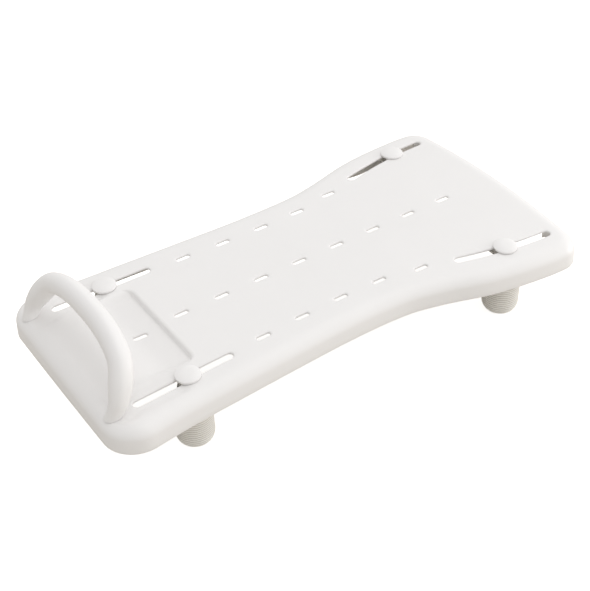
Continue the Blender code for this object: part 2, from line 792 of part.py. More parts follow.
def clamp_disc(name, lean, group, material):
    """Smooth disc on the seat, hollow below for the bolt's head."""
    top = DISC_LIFT + DISC_THICK
    hollow, depth = DISC_HOLLOW
    profile = [(radius, top - fall) for radius, fall in DISC_DOME]
    profile += [(DISC_RADIUS, DISC_LIFT), (hollow, DISC_LIFT)]
    profile += [(hollow, DISC_LIFT + depth), (0.0, DISC_LIFT + depth)]
    item = turned(f"clamp_disc_{name}", profile, 20, group, material)
    item.rotation_euler.x = lean
    return item


def clamp_bolt(name, group, cutters, steel):
    """Hexagon bolt, head up inside the disc and shank down the middle of the foot."""
    bm = bmesh.new()
    prism(bm, round_outline(0.0, 0.0, BOLT_HEAD_FLATS / math.sqrt(3.0), 6), *BOLT_HEAD)
    item = new_object(f"clamp_bolt_{name}", mesh_from(bm, f"clamp_bolt_{name}"), group, steel)
    shank = [(0.0, 2.0), (BOLT_RADIUS, 2.0), (BOLT_RADIUS, -BOLT_END + 1.0)]
    shank += [(BOLT_RADIUS - 1.0, -BOLT_END), (0.0, -BOLT_END)]
    stem = as_cutter(turned(f"bolt_shank_{name}", shank, ROUND_STEPS, cutters, steel))
    boolean(item, "UNION", stem)
    return item, stem


def slot_block(name, group, cutters, material):
    """Square-shouldered block that keys the bolt in its slot."""
    bm = bmesh.new()
    reach = (BLOCK_LENGTH - BLOCK_WIDTH) / 2.0
    along = Vector((1.0, 0.0))
    middle = [(Vector((-reach, 0.0)), along), (Vector((reach, 0.0)), along)]
    prism(bm, stadium(middle, BLOCK_WIDTH), *BLOCK_HEIGHT)
    item = new_object(f"slot_block_{name}", mesh_from(bm, f"slot_block_{name}"), group, material)
    bm = bmesh.new()
    prism(bm, round_outline(0.0, 0.0, BORE_RADIUS, ROUND_STEPS), -20.0, 8.0)
    bore = as_cutter(new_object(f"block_bore_{name}", mesh_from(bm, f"block_bore_{name}"), cutters))
    boolean(item, "DIFFERENCE", bore)
    return item, bore


def grip_washer(name, group, material):
    """Rubber ring drawn up against the rails."""
    top = -RAIL_BOTTOM - GAP
    under = top - GRIP_THICK
    ring = [(GRIP_RADIUS, top), (GRIP_RADIUS, under), (GRIP_BORE, under), (GRIP_BORE, top)]
    return turned(f"grip_washer_{name}", ring, ROUND_STEPS, group, material)


def core_top():
    """Height of the foot core's upper face, just under the grip washer."""
    return -RAIL_BOTTOM - GAP * 2.0 - GRIP_THICK


def foot_core(name, length, group, cutters, material):
    """Foot moulding: a wide flange over a hub, bored for the bolt and pocketed for its nut."""
    top = core_top()
    hub = FOOT_RADIUS - CORE_WALL
    shoulder = -SLEEVE_TOP + GAP
    profile = [(GRIP_RADIUS, top), (GRIP_RADIUS, top - 3.0), (CORE_NECK, top - 4.2)]
    profile += [(CORE_NECK, shoulder), (hub, shoulder), (hub, -length + 17.0)]
    profile += [(12.0, -length + 4.4), (6.0, -length + 4.4), (6.0, -length + 8.0)]
    profile += [(BORE_RADIUS, -length + 8.0), (BORE_RADIUS, top)]
    item = turned(f"foot_core_{name}", profile, FOOT_STEPS, group, material)
    bm = bmesh.new()
    pocket_radius = (BOLT_HEAD_FLATS + 2.0 * GAP) / math.sqrt(3.0)
    prism(bm, round_outline(0.0, 0.0, pocket_radius, 6), top - NUT_DEPTH, top + 5.0)
    pocket = as_cutter(new_object(f"nut_pocket_{name}", mesh_from(bm, f"nut_pocket_{name}"), cutters))
    boolean(item, "DIFFERENCE", pocket)
    return item, pocket


def foot_nut(name, group, cutters, steel):
    """Hexagon nut held in the top of the foot."""
    top = core_top()
    bm = bmesh.new()
    outline = round_outline(0.0, 0.0, BOLT_HEAD_FLATS / math.sqrt(3.0), 6)
    prism(bm, outline, top - NUT_DEPTH + GAP, top - 0.4)
    item = new_object(f"foot_nut_{name}", mesh_from(bm, f"foot_nut_{name}"), group, steel)
    bm = bmesh.new()
    prism(bm, round_outline(0.0, 0.0, BORE_RADIUS, ROUND_STEPS), -40.0, 8.0)
    bore = as_cutter(new_object(f"nut_bore_{name}", mesh_from(bm, f"nut_bore_{name}"), cutters))
    boolean(item, "DIFFERENCE", bore)
    return item, bore


def foot_sleeve(name, length, group, material):
    """Rubber sleeve over the foot, with close rings down its side and round its lower edge."""
    inner = FOOT_RADIUS - CORE_WALL + GAP
    turn_z = -length + FOOT_FILLET
    centre = FOOT_RADIUS - FOOT_FILLET
    profile = [(0.0, -length + 4.1), (12.3, -length + 4.1), (inner, -length + 16.7)]
    profile += [(inner, -SLEEVE_TOP), (FOOT_RADIUS - RING_RISE, -SLEEVE_TOP)]
    z = -SLEEVE_TOP - 1.4
    rise = True
    while z > -length + 1.2:
        below = max(0.0, turn_z - z)
        radius = centre + math.sqrt(FOOT_FILLET ** 2 - below ** 2)
        profile.append((radius - (0.0 if rise else RING_RISE), z))
        rise = not rise
        z -= RING_PITCH / 2.0
    profile += [(centre + 1.0, -length), (0.0, -length)]
    return turned(f"foot_sleeve_{name}", profile, FOOT_STEPS, group, material)


def clamp_foot(name, x, group, cutters, finish):
    """One clamp foot on an empty that stands on its bolt's axis and faces along the slot."""
    frame = foot_frame(name, x)
    length = foot_length(frame)
    axis = bpy.data.objects.new(f"foot_axis_{name}", None)
    axis.empty_display_size = 0.03
    group.objects.link(axis)
    axis.matrix_world = frame
    bolt, stem = clamp_bolt(name, group, cutters, finish["steel"])
    block, block_bore = slot_block(name, group, cutters, finish["white"])
    core, pocket = foot_core(name, length, group, cutters, finish["grey"])
    nut, nut_bore = foot_nut(name, group, cutters, finish["steel"])
    pieces = [
        clamp_disc(name, disc_lean(frame), group, finish["white"]), bolt, block,
        grip_washer(name, group, finish["rubber"]), core, nut,
        foot_sleeve(name, length, group, finish["rubber"]), stem, block_bore, pocket, nut_bore,
    ]
    for piece in pieces:
        piece.parent = axis
    return axis


def build():
    """Build every part of the board, each with its own finish."""
    clear_scene()
    parts = new_collection("bath_board")
    cutters = new_collection("cutters")
    finish = {
        "white": new_material("white_plastic", WHITE, 0.42),
        "grey": new_material("foot_plastic", GREY, 0.5),
        "rubber": new_material("foot_rubber", RUBBER, 0.75),
        "steel": new_material("zinc_steel", STEEL, 0.35, 1.0),
    }
    seat_board(parts, cutters, finish["white"])
    handle(parts, cutters, finish["white"], finish["steel"])
    for name, x in FOOT_PLACES:
        clamp_foot(name, x, parts, cutters, finish)


build()
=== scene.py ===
"""Bath board: the looks of its moulded seat, arch handle, clamp discs and ringed rubber feet.

Sizes are in millimetres in the fields below, and in metres in the meshes, in the CAD model's frame:
+X runs along the board away from the handle, +Y across it to the rear, and Z = 0 is the floor.
"""

import json
import logging
import math
from collections.abc import Callable, Iterator, Sequence
from contextlib import contextmanager
from dataclasses import dataclass, field
from enum import Enum
from functools import cache, partial

import bmesh
import bpy
from mathutils import Matrix, Vector


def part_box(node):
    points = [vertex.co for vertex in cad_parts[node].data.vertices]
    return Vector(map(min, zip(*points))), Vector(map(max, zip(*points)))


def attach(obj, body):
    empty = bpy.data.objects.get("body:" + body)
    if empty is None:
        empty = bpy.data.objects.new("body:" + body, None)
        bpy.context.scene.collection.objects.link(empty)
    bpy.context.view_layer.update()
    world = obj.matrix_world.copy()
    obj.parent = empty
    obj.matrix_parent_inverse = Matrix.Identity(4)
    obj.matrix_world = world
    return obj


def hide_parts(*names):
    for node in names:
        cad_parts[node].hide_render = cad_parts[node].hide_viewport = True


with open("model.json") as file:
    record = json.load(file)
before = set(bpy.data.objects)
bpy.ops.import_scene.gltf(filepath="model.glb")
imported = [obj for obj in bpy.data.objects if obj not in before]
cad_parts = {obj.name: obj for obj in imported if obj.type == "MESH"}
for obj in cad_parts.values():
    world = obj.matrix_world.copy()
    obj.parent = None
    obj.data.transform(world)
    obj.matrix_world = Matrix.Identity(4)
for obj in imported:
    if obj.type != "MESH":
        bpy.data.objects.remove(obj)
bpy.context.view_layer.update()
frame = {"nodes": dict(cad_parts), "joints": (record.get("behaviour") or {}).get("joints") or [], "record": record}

MM = 0.001
# Distances in metres at which two places are the same, are near each other, and are welded
SAME = 1e-7
NEAR = 1e-6
WELD = 2e-6
FEET = ("front_left", "rear_left", "front_right", "rear_right")
# Height of the seat's middle above the floor
SEAT_Z = 106.4
# Front and rear, as signs of Y
SIDES = (-1.0, 1.0)
WHITE = (1.0, 1.0, 1.0, 1.0)
log = logging.getLogger("bath_board")

Object = bpy.types.Object
Socket = bpy.types.NodeSocket
Pair = tuple[float, float]
Triple = tuple[float, float, float]
Line = list[tuple[Vector, Vector]]


class Closing(Enum):
    """How one end of a lofted piece is closed."""

    OPEN = "open"
    FACE = "face"
    POINT = "point"


class End(Enum):
    """The two ends of the board."""

    LEFT = "left"
    RIGHT = "right"


def smooth_step(value: float) -> float:
    """Ease from 0 to 1, flat at both ends."""
    t = min(1.0, max(0.0, value))
    return t * t * (3.0 - 2.0 * t)


def spaced(start: float, stop: float, step: float) -> list[float]:
    """Evenly spaced numbers from start to stop.

    Args:
        start: First number.
        stop: Last number.
        step: The widest gap between two of them.

    Returns:
        The numbers, with both ends.
    """
    count = max(1, math.ceil(abs(stop - start) / step))
    return [start + (stop - start) * i / count for i in range(count + 1)]


def right_of(along: Vector) -> Vector:
    """The plan direction to the right of another."""
    return Vector((along.y, -along.x))


def on_side(points: Sequence[Vector], side: float) -> list[Vector]:
    """Plan points of the rear half as they are for side 1, and mirrored to the front for side -1."""
    return [Vector((p.x, p.y * side)) for p in points]


@dataclass(frozen=True)
class Curve:
    """A smooth cubic curve through knots, numbers or vectors, that lie at rising distances."""

    reach: Sequence[float]
    knots: Sequence[float | Vector]

    def slope(self, k: int) -> float | Vector:
        """Slope at one knot, from the knots on both sides of it."""
        low, high = max(k - 1, 0), min(k + 1, len(self.knots) - 1)
        return (self.knots[high] - self.knots[low]) / (self.reach[high] - self.reach[low])

    def at(self, distance: float) -> tuple[float | Vector, float | Vector]:
        """Follow the curve to a distance.

        Args:
            distance: A number from the first reach to the last.

        Returns:
            The curve's value there, and its direction, which isn't of unit length.
        """
        k = max(n for n in range(len(self.knots) - 1) if self.reach[n] <= distance)
        span = self.reach[k + 1] - self.reach[k]
        t = (distance - self.reach[k]) / span
        a, b = self.knots[k], self.knots[k + 1]
        rise_a, rise_b = self.slope(k) * span, self.slope(k + 1) * span
        value = (
            a * (1 + 2 * t) * (1 - t) ** 2 + rise_a * t * (1 - t) ** 2
            + b * t * t * (3 - 2 * t) + rise_b * t * t * (t - 1)
        )
        along = (b - a) * 6 * t * (1 - t) + (rise_a * (1 - t) * (1 - 3 * t) + rise_b * t * (3 * t - 2))
        return value, along


# Workbench: the edit-mode steps that every piece is made with


class Bench:
    """Edit-mode steps on one piece at a time."""

    @staticmethod
    def clear() -> None:
        """Leave edit mode and deselect everything."""
        if bpy.context.object is not None and bpy.context.object.mode != "OBJECT":
            bpy.ops.object.mode_set(mode="OBJECT")
        bpy.ops.object.select_all(action="DESELECT")

    @staticmethod
    def pick(piece: Object) -> None:
        """Make one piece the only selected and active object.

        Args:
            piece: The piece.
        """
        Bench.clear()
        piece.select_set(True)
        bpy.context.view_layer.objects.active = piece

    @staticmethod
    def take(name: str) -> Object:
        """Name the active piece and its mesh.

        Args:
            name: The name of both.

        Returns:
            The piece.
        """
        piece = bpy.context.object
        piece.name = piece.data.name = name
        return piece

    @staticmethod
    @contextmanager
    def editing(piece: Object, kind: str = "VERT") -> Iterator[None]:
        """Edit one piece, all of it selected at first.

        Args:
            piece: The piece.
            kind: What is selected: VERT, EDGE or FACE.

        Returns:
            A context in which the piece is in edit mode.
        """
        Bench.pick(piece)
        bpy.ops.object.mode_set(mode="EDIT")
        bpy.ops.mesh.select_mode(type=kind)
        bpy.ops.mesh.select_all(action="SELECT")
        yield
        bpy.ops.object.mode_set(mode="OBJECT")

    @staticmethod
    def draw_out(rise: float = 0.0) -> None:
        """Extrude the selected ring, straight up by a rise in millimetres."""
        bpy.ops.mesh.extrude_edges_move(TRANSFORM_OT_translate={"value": (0.0, 0.0, rise * MM)})

    @staticmethod
    def lay_ring(piece: Object, points: Sequence[Vector]) -> None:
        """Move the selected ring of vertices onto new places.

        Args:
            piece: The piece, in edit mode.
            points: Where each vertex of the ring goes, in millimetres.
        """
        mesh = bmesh.from_edit_mesh(piece.data)
        number = mesh.verts.layers.int["ring"]
        for vert in mesh.verts:
            if vert.select:
                vert.co = points[vert[number]] * MM
        bmesh.update_edit_mesh(piece.data)

    @staticmethod
    def close_ring(closing: Closing) -> None:
        """Close the selected ring with a face, or draw it together to a point.

        Args:
            closing: How it is closed.
        """
        if closing is Closing.FACE:
            bpy.ops.mesh.edge_face_add()
        elif closing is Closing.POINT:
            Bench.draw_out()
            bpy.ops.mesh.merge(type="CENTER")

    @staticmethod
    def face_out() -> None:
        """Turn all faces of the piece in hand outwards."""
        bpy.ops.mesh.select_all(action="SELECT")
        bpy.ops.mesh.normals_make_consistent(inside=False)

    @staticmethod
    def loft(name: str, rings: Sequence[Sequence[Vector]], first: Closing = Closing.FACE,
             last: Closing = Closing.FACE) -> Object:
        """Draw a circle out through a row of rings.

        Args:
            name: The piece's name.
            rings: Rings of equally many points, in millimetres.
            first: How the first ring is closed.
            last: How the last ring is closed.

        Returns:
            The piece, with its faces outwards.
        """
        Bench.clear()
        bpy.ops.mesh.primitive_circle_add(vertices=len(rings[0]), radius=0.01, fill_type="NOTHING")
        piece = Bench.take(name)
        with Bench.editing(piece):
            mesh = bmesh.from_edit_mesh(piece.data)
            number = mesh.verts.layers.int.new("ring")
            for i, vert in enumerate(sorted(mesh.verts, key=lambda v: v.index)):
                vert[number] = i
            bmesh.update_edit_mesh(piece.data)
            Bench.lay_ring(piece, rings[0])
            for ring in rings[1:]:
                Bench.draw_out()
                Bench.lay_ring(piece, ring)
            Bench.close_ring(last)
            if first is not Closing.OPEN:
                start = [p * MM for p in rings[0]]
                Bench.select_verts(
                    piece, lambda v: v.is_boundary and any((v.co - p).length < NEAR for p in start)
                )
                Bench.close_ring(first)
            Bench.face_out()
        return piece

    @staticmethod
    def select_verts(piece: Object, test: Callable[[bmesh.types.BMVert], bool]) -> None:
        """Select some vertices, and the edges and faces between them.

        Args:
            piece: The piece, in edit mode.
            test: Whether a vertex is selected.
        """
        bpy.ops.mesh.select_all(action="DESELECT")
        mesh = bmesh.from_edit_mesh(piece.data)
        for vert in mesh.verts:
            vert.select = test(vert)
        mesh.select_flush(True)
        bmesh.update_edit_mesh(piece.data)

    @staticmethod
    def turned(name: str, profile: Sequence[Pair], sides: int = 64) -> Object:
        """Turn a piece on the Z axis: a circle, drawn on and scaled from ring to ring.

        Args:
            name: The piece's name.
            profile: Radius and height of each ring, in millimetres. A radius of 0 at an end closes it
                to a point, and a profile that ends where it starts makes a hollow ring.
            sides: How many sides each ring has.

        Returns:
            The piece, standing on the Z axis.
        """
        rings = [(radius, height) for radius, height in profile if radius > 0.0]
        Bench.clear()
        bpy.ops.mesh.primitive_circle_add(vertices=sides, radius=rings[0][0] * MM, fill_type="NOTHING")
        piece = Bench.take(name)
        with Bench.editing(piece):
            bpy.ops.transform.translate(value=(0.0, 0.0, rings[0][1] * MM))
            for (radius, height), (next_radius, next_height) in zip(rings, rings[1:]):
                Bench.draw_out(next_height - height)
                share = next_radius / radius
                axis = (0.0, 0.0, next_height * MM)
                bpy.ops.transform.resize(value=(share, share, 1.0), center_override=axis)
            if profile[0] != profile[-1]:
                Bench.close_ring(Closing.POINT if profile[-1][0] <= 0.0 else Closing.FACE)
                Bench.select_verts(piece, lambda v: v.is_boundary)
                Bench.close_ring(Closing.POINT if profile[0][0] <= 0.0 else Closing.FACE)
        with Bench.editing(piece):
            bpy.ops.mesh.remove_doubles(threshold=WELD)
            Bench.face_out()
        return piece

    @staticmethod
    def block(size: Triple, height: float) -> Object:
        """Add a block.

        Args:
            size: Its three sides in millimetres.
            height: Height of its middle in millimetres.

        Returns:
            The block, in object mode.
        """
        Bench.clear()
        bpy.ops.mesh.primitive_cube_add(size=1.0, location=(0.0, 0.0, height * MM))
        block = bpy.context.object
        block.data.transform(Matrix.Diagonal((*(side * MM for side in size), 1.0)))
        return block

    @staticmethod
    def select_upright_edges(piece: Object) -> None:
        """Select the edges that stand upright.

        Args:
            piece: The piece, in edit mode for edges.
        """
        bpy.ops.mesh.select_all(action="DESELECT")
        mesh = bmesh.from_edit_mesh(piece.data)
        for edge in mesh.edges:
            along = edge.verts[0].co - edge.verts[1].co
            edge.select = abs(along.z) > 0.9 * along.length
        bmesh.update_edit_mesh(piece.data)

    @staticmethod
    def cut(piece: Object, operation: str, tool: Object) -> None:
        """Cut, join or trim a piece with another, which is used up.

        Args:
            piece: The piece that stays.
            operation: DIFFERENCE, UNION or INTERSECT.
            tool: The piece it is worked with.
        """
        Bench.pick(piece)
        step = piece.modifiers.new(operation.lower(), "BOOLEAN")
        step.operation = operation
        step.solver = "EXACT"
        step.object = tool
        bpy.ops.object.modifier_apply(modifier=step.name)
        bpy.data.objects.remove(tool, do_unlink=True)

    @staticmethod
    def join(name: str, parts: Sequence[Object]) -> Object:
        """Join several meshes into one.

        Args:
            name: The joined piece's name.
            parts: The meshes, which are used up.

        Returns:
            The joined piece.
        """
        Bench.pick(parts[0])
        for part in parts:
            part.select_set(True)
        bpy.ops.object.join()
        return Bench.take(name)

    @staticmethod
    def copy(piece: Object, name: str, place: Matrix) -> Object:
        """Copy a piece with its own mesh, moved to its place in the mesh itself.

        Args:
            piece: The piece that is copied.
            name: The copy's name.
            place: Where it goes, in metres.

        Returns:
            The copy.
        """
        twin = piece.copy()
        twin.data = piece.data.copy()
        twin.name = twin.data.name = name
        bpy.context.scene.collection.objects.link(twin)
        twin.data.transform(place)
        return twin


# Finishes


class Nodes:
    """A node tree that is wired by name."""

    def __init__(self, tree: bpy.types.NodeTree) -> None:
        """Take a tree to work on."""
        self.tree = tree

    def feed(self, socket: Socket, value: object) -> None:
        """Give an input a plain value, or wire an output to it.

        Args:
            socket: The input.
            value: A plain value or an output.
        """
        if isinstance(value, Socket):
            self.tree.links.new(value, socket)
        else:
            socket.default_value = value

    def fill(self, node: bpy.types.Node, **settings: object) -> bpy.types.Node:
        """Set a node up.

        Args:
            node: The node.
            settings: Its properties in small letters, and its inputs by name with spaces as underscores,
                each with a plain value or an output to wire.

        Returns:
            The node.
        """
        for key, value in settings.items():
            if key[0].isupper():
                self.feed(node.inputs[key.replace("_", " ")], value)
            else:
                setattr(node, key, value)
        return node

    def add(self, kind: str, **settings: object) -> bpy.types.Node:
        """Add a node of a kind and set it up."""
        return self.fill(self.tree.nodes.new(kind), **settings)

    def find(self, kind: str) -> bpy.types.Node:
        """The first node of a type that is already there."""
        return next(node for node in self.tree.nodes if node.type == kind)

    def maths(self, operation: str, *values: object) -> Socket:
        """One step of arithmetic.

        Args:
            operation: Its name in Blender.
            values: Plain numbers, or outputs to wire.

        Returns:
            The result's output.
        """
        node = self.add("ShaderNodeMath", operation=operation)
        for socket, value in zip(node.inputs, values):
            self.feed(socket, value)
        return node.outputs[0]

    def mixed(self, share: Socket, low: object, high: object) -> Socket:
        """Mix two colours.

        Args:
            share: Share of the second colour.
            low: First colour, or the output that carries it.
            high: Second colour, or the output that carries it.

        Returns:
            The mixed colour's output.
        """
        node = self.add("ShaderNodeMix", data_type="RGBA")
        for i, value in ((0, share), (6, low), (7, high)):
            self.feed(node.inputs[i], value)
        return node.outputs[2]

    def noise(self, place: Socket, scale: float, detail: float, roughness: float = 0.5) -> Socket:
        """Noise from 0 to 1 at a place."""
        node = self.add("ShaderNodeTexNoise", Vector=place, Scale=scale, Detail=detail, Roughness=roughness)
        return node.outputs[0]

    def eased(self, value: Socket, low: float, high: float) -> Socket:
        """Ease a value from 0 to 1 between two limits."""
        return self.add("ShaderNodeMapRange", interpolation_type="SMOOTHSTEP", Value=value, From_Min=low,
                        From_Max=high).outputs[0]

    def bump(self, height: Socket, distance: float, strength: float) -> Socket:
        """The normal of a surface with a fine relief."""
        return self.add("ShaderNodeBump", Height=height, Distance=distance, Strength=strength).outputs[0]


def new_group(name: str, inputs: dict[str, float], outputs: Sequence[str]) -> tuple[Nodes, dict, dict]:
    """Start a shader node group that reads a place and gives masks.

    Args:
        name: The group's name.
        inputs: Its number inputs with their usual values.
        outputs: Its outputs, all plain numbers.

    Returns:
        The tree, its input sockets and its output sockets, by name.
    """
    tree = bpy.data.node_groups.new(name, "ShaderNodeTree")
    tree.interface.new_socket("Place", in_out="INPUT", socket_type="NodeSocketVector")
    for key, value in inputs.items():
        tree.interface.new_socket(key, in_out="INPUT", socket_type="NodeSocketFloat").default_value = value
    for key in outputs:
        tree.interface.new_socket(key, in_out="OUTPUT", socket_type="NodeSocketFloat")
    nodes = Nodes(tree)
    entry, leave = nodes.add("NodeGroupInput"), nodes.add("NodeGroupOutput")
    ins = {socket.name: socket for socket in entry.outputs if socket.name}
    outs = {socket.name: socket for socket in leave.inputs if socket.name}
    return nodes, ins, outs


@cache
def mould_grain() -> bpy.types.NodeTree:
    """Build the fine pebbled grain of a moulding tool, with its slow unevenness.

    Returns:
        The node group.
    """
    nodes, ins, outs = new_group("mould_grain", {"Scale": 900.0}, ("Height", "Tone"))
    fine = nodes.add("ShaderNodeTexVoronoi", feature="SMOOTH_F1", Vector=ins["Place"], Scale=ins["Scale"],
                     Smoothness=0.8).outputs["Distance"]
    broad = nodes.noise(ins["Place"], scale=14.0, detail=3.0, roughness=0.55)
    haze = nodes.noise(ins["Place"], scale=160.0, detail=2.0)
    height = nodes.maths("ADD", nodes.maths("MULTIPLY", fine, 0.7), nodes.maths("MULTIPLY", haze, 0.5))
    tone = nodes.maths("ADD", nodes.maths("MULTIPLY", broad, 0.8), nodes.maths("MULTIPLY", haze, 0.2))
    nodes.feed(outs["Height"], height)
    nodes.feed(outs["Tone"], tone)
    return nodes.tree


@cache
def handling_marks() -> bpy.types.NodeTree:
    """Build the faint rubbed patches and hairline scuffs from use.

    Returns:
        The node group.
    """
    nodes, ins, outs = new_group("handling_marks", {"Amount": 0.5}, ("Rubbed", "Scuff"))
    stretch = nodes.add("ShaderNodeMapping", Vector=ins["Place"], Scale=(1.0, 9.0, 4.0), Rotation=(0.0, 0.0, 0.35))
    hairs = nodes.noise(stretch.outputs[0], scale=55.0, detail=4.0, roughness=0.7)
    patches = nodes.noise(ins["Place"], scale=6.0, detail=2.0)
    sharp = nodes.eased(hairs, low=0.64, high=0.74)
    soft = nodes.eased(patches, low=0.45, high=0.7)
    nodes.feed(outs["Rubbed"], nodes.maths("MULTIPLY", soft, ins["Amount"]))
    nodes.feed(outs["Scuff"], nodes.maths("MULTIPLY", nodes.maths("MULTIPLY", sharp, soft), ins["Amount"]))
    return nodes.tree


@dataclass(frozen=True)
class Finish:
    """What every finish has: a name, a colour and a roughness."""

    name: str
    colour: Triple
    roughness: float

    def make(self) -> bpy.types.Material:
        """Build the material.

        Returns:
            The material, whose shader has the inputs that the finish gives.
        """
        material = bpy.data.materials.new(self.name)
        material.use_nodes = True
        material.diffuse_color = (*self.colour, 1.0)
        nodes = Nodes(material.node_tree)
        inputs = self.inputs(nodes, nodes.add("ShaderNodeTexCoord").outputs["Object"])
        nodes.fill(nodes.find("BSDF_PRINCIPLED"), **inputs)
        return material

    def inputs(self, nodes: Nodes, place: Socket) -> dict[str, object]:
        """The shader's inputs.

        Args:
            nodes: The material's nodes.
            place: Where on the piece the shader is.

        Returns:
            A plain value or an output for each input.
        """
        raise NotImplementedError

    def shade(self, *shares: float) -> tuple[float, ...]:
        """This finish's colour times one share, or times one for each channel, with alpha."""
        shares *= 3 // len(shares)
        return (*(min(1.0, channel * share) for channel, share in zip(self.colour, shares)), 1.0)

    @staticmethod
    def grain_of(nodes: Nodes, place: Socket, scale: float) -> bpy.types.NodeOutputs:
        """Place the mould's grain in a material."""
        return nodes.add("ShaderNodeGroup", node_tree=mould_grain(), Place=place, Scale=scale).outputs

    @staticmethod
    def marks_of(nodes: Nodes, place: Socket, amount: float) -> bpy.types.NodeOutputs:
        """Place the marks of use in a material."""
        return nodes.add("ShaderNodeGroup", node_tree=handling_marks(), Place=place, Amount=amount).outputs


@dataclass(frozen=True)
class MouldedPlastic(Finish):
    """Satin injection-moulded plastic with a fine tool grain."""

    grain: float = 900.0
    relief: float = 0.00002
    wear: float = 0.4
    specular: float = 0.42

    def inputs(self, nodes: Nodes, place: Socket) -> dict[str, object]:
        """The shader's inputs.

        Args:
            nodes: The material's nodes.
            place: Where on the piece the shader is.

        Returns:
            A plain value or an output for each input.
        """
        grain = self.grain_of(nodes, place, self.grain)
        marks = self.marks_of(nodes, place, self.wear)
        tone = nodes.mixed(grain["Tone"], self.shade(0.975), self.shade(1.02))
        rough = nodes.maths("MULTIPLY_ADD", grain["Tone"], 0.08, self.roughness - 0.04)
        rough = nodes.maths("SUBTRACT", rough, nodes.maths("MULTIPLY", marks["Rubbed"], 0.09))
        return {
            "Base_Color": nodes.mixed(marks["Scuff"], tone, self.shade(0.975, 0.955, 0.92)),
            "Roughness": nodes.maths("ADD", rough, nodes.maths("MULTIPLY", marks["Scuff"], 0.2)),
            "Normal": nodes.bump(grain["Height"], self.relief, strength=0.5),
            "Specular_IOR_Level": self.specular,
        }


@dataclass(frozen=True)
class SoftRubber(Finish):
    """Matt rubber, with painted shade darkening its grooves, and smoother where it is rubbed."""

    grain: float = 1400.0
    relief: float = 0.00006
    wear: float = 0.8
    # Colour of the painted shade in the grooves, and how much of it lies at a groove's bottom
    groove: Triple = (0.33, 0.29, 0.235)
    groove_shade: float = 0.6
    specular: float = 0.28

    def inputs(self, nodes: Nodes, place: Socket) -> dict[str, object]:
        """The shader's inputs.

        Args:
            nodes: The material's nodes.
            place: Where on the piece the shader is.

        Returns:
            A plain value or an output for each input.
        """
        grain = self.grain_of(nodes, place, self.grain)
        marks = self.marks_of(nodes, place, self.wear)
        depth = nodes.add("ShaderNodeAttribute", attribute_name="groove").outputs["Fac"]
        tone = nodes.mixed(grain["Tone"], self.shade(0.93), self.shade(1.04))
        # Painted shade: each groove is darkened towards the groove colour by its depth
        tone = nodes.mixed(nodes.maths("MULTIPLY", depth, self.groove_shade), tone, (*self.groove, 1.0))
        return {
            "Base_Color": nodes.mixed(marks["Scuff"], tone, self.shade(0.7)),
            "Roughness": nodes.maths("SUBTRACT", self.roughness, nodes.maths("MULTIPLY", marks["Rubbed"], 0.12)),
            "Normal": nodes.bump(grain["Height"], self.relief, strength=0.6),
            "Specular_IOR_Level": self.specular,
        }


@dataclass(frozen=True)
class PlatedSteel(Finish):
    """Zinc-plated steel with fine turning lines and a mottled passivation."""

    relief: float = 0.00002

    def inputs(self, nodes: Nodes, place: Socket) -> dict[str, object]:
        """The shader's inputs.

        Args:
            nodes: The material's nodes.
            place: Where on the piece the shader is.

        Returns:
            A plain value or an output for each input.
        """
        marks = self.marks_of(nodes, place, amount=1.0)
        flat = nodes.add("ShaderNodeMapping", Vector=place, Scale=(0.15, 0.15, 6.0)).outputs[0]
        lines = nodes.noise(flat, scale=420.0, detail=2.0)
        mottled = nodes.mixed(lines, self.shade(0.86), self.shade(1.1))
        return {
            "Base_Color": nodes.mixed(marks["Rubbed"], mottled, self.shade(0.95, 0.9, 0.72)),
            "Roughness": nodes.maths("ADD", nodes.maths("MULTIPLY", lines, 0.25), self.roughness - 0.1),
            "Normal": nodes.bump(lines, self.relief, strength=0.5),
            "Metallic": 1.0,
        }


@dataclass(frozen=True)
class Palette:
    """The materials of the whole board, by the record's material slots."""

    materials: dict[str, bpy.types.Material]

    @classmethod
    def mix(cls) -> "Palette":
        """Make the four finishes.

        Returns:
            The palette.
        """
        return cls({
            "white_plastic": MouldedPlastic("white_moulding", (0.838, 0.822, 0.81), roughness=0.46).make(),
            "foot_plastic": MouldedPlastic("grey_foot_moulding", (0.52, 0.515, 0.5), roughness=0.5,
                                           grain=700.0).make(),
            "foot_rubber": SoftRubber("beige_rubber", (0.97, 0.95, 0.9), roughness=0.7).make(),
            "zinc_steel": PlatedSteel("zinc_plate", (0.62, 0.63, 0.64), roughness=0.34).make(),
        })

    def coat(self, piece: Object, slot: str) -> None:
        """Give a piece the material of a slot."""
        piece.data.materials.clear()
        piece.data.materials.append(self.materials[slot])

    def dress(self, piece: Object, degrees: float, slot: str, body: str, *nodes: str) -> None:
        """Shade a finished piece smooth, coat it, and let it ride on a body and stand for CAD nodes.

        Args:
            piece: The finished piece.
            degrees: The angle past which its edges are crisp.
            slot: The record's material slot that its finish comes from.
            body: The CAD body that it moves with.
            nodes: The CAD nodes that it replaces.
        """
        Bench.pick(piece)
        bpy.ops.object.shade_smooth_by_angle(angle=math.radians(degrees))
        self.coat(piece, slot)
        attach(piece, body)
        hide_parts(*nodes)
        log.info("%s: %d faces on %s", piece.name, len(piece.data.polygons), body)


# Seat board


@dataclass(frozen=True)
class Crown:
    """The seat falls away towards both ends, and at the right end towards both sides too."""

    middle_x: float = -4.7
    end_curve: float = 2.16e-5
    side_curve: float = 9.41e-7
    side_start: float = 15.3
    side_ease: float = 80.0

    def height(self, x: float, y: float) -> float:
        """Height of the plain seat, from the top of its middle.

        Args:
            x: Place along the board.
            y: Place across it.

        Returns:
            The height there.
        """
        ease = min(1.0, max(0.0, (x - self.side_start) / self.side_ease))
        run = 0.5 * self.side_ease * ease * ease + max(0.0, x - self.side_start - self.side_ease)
        return -self.end_curve * (x - self.middle_x) ** 2 - self.side_curve * run * y * y


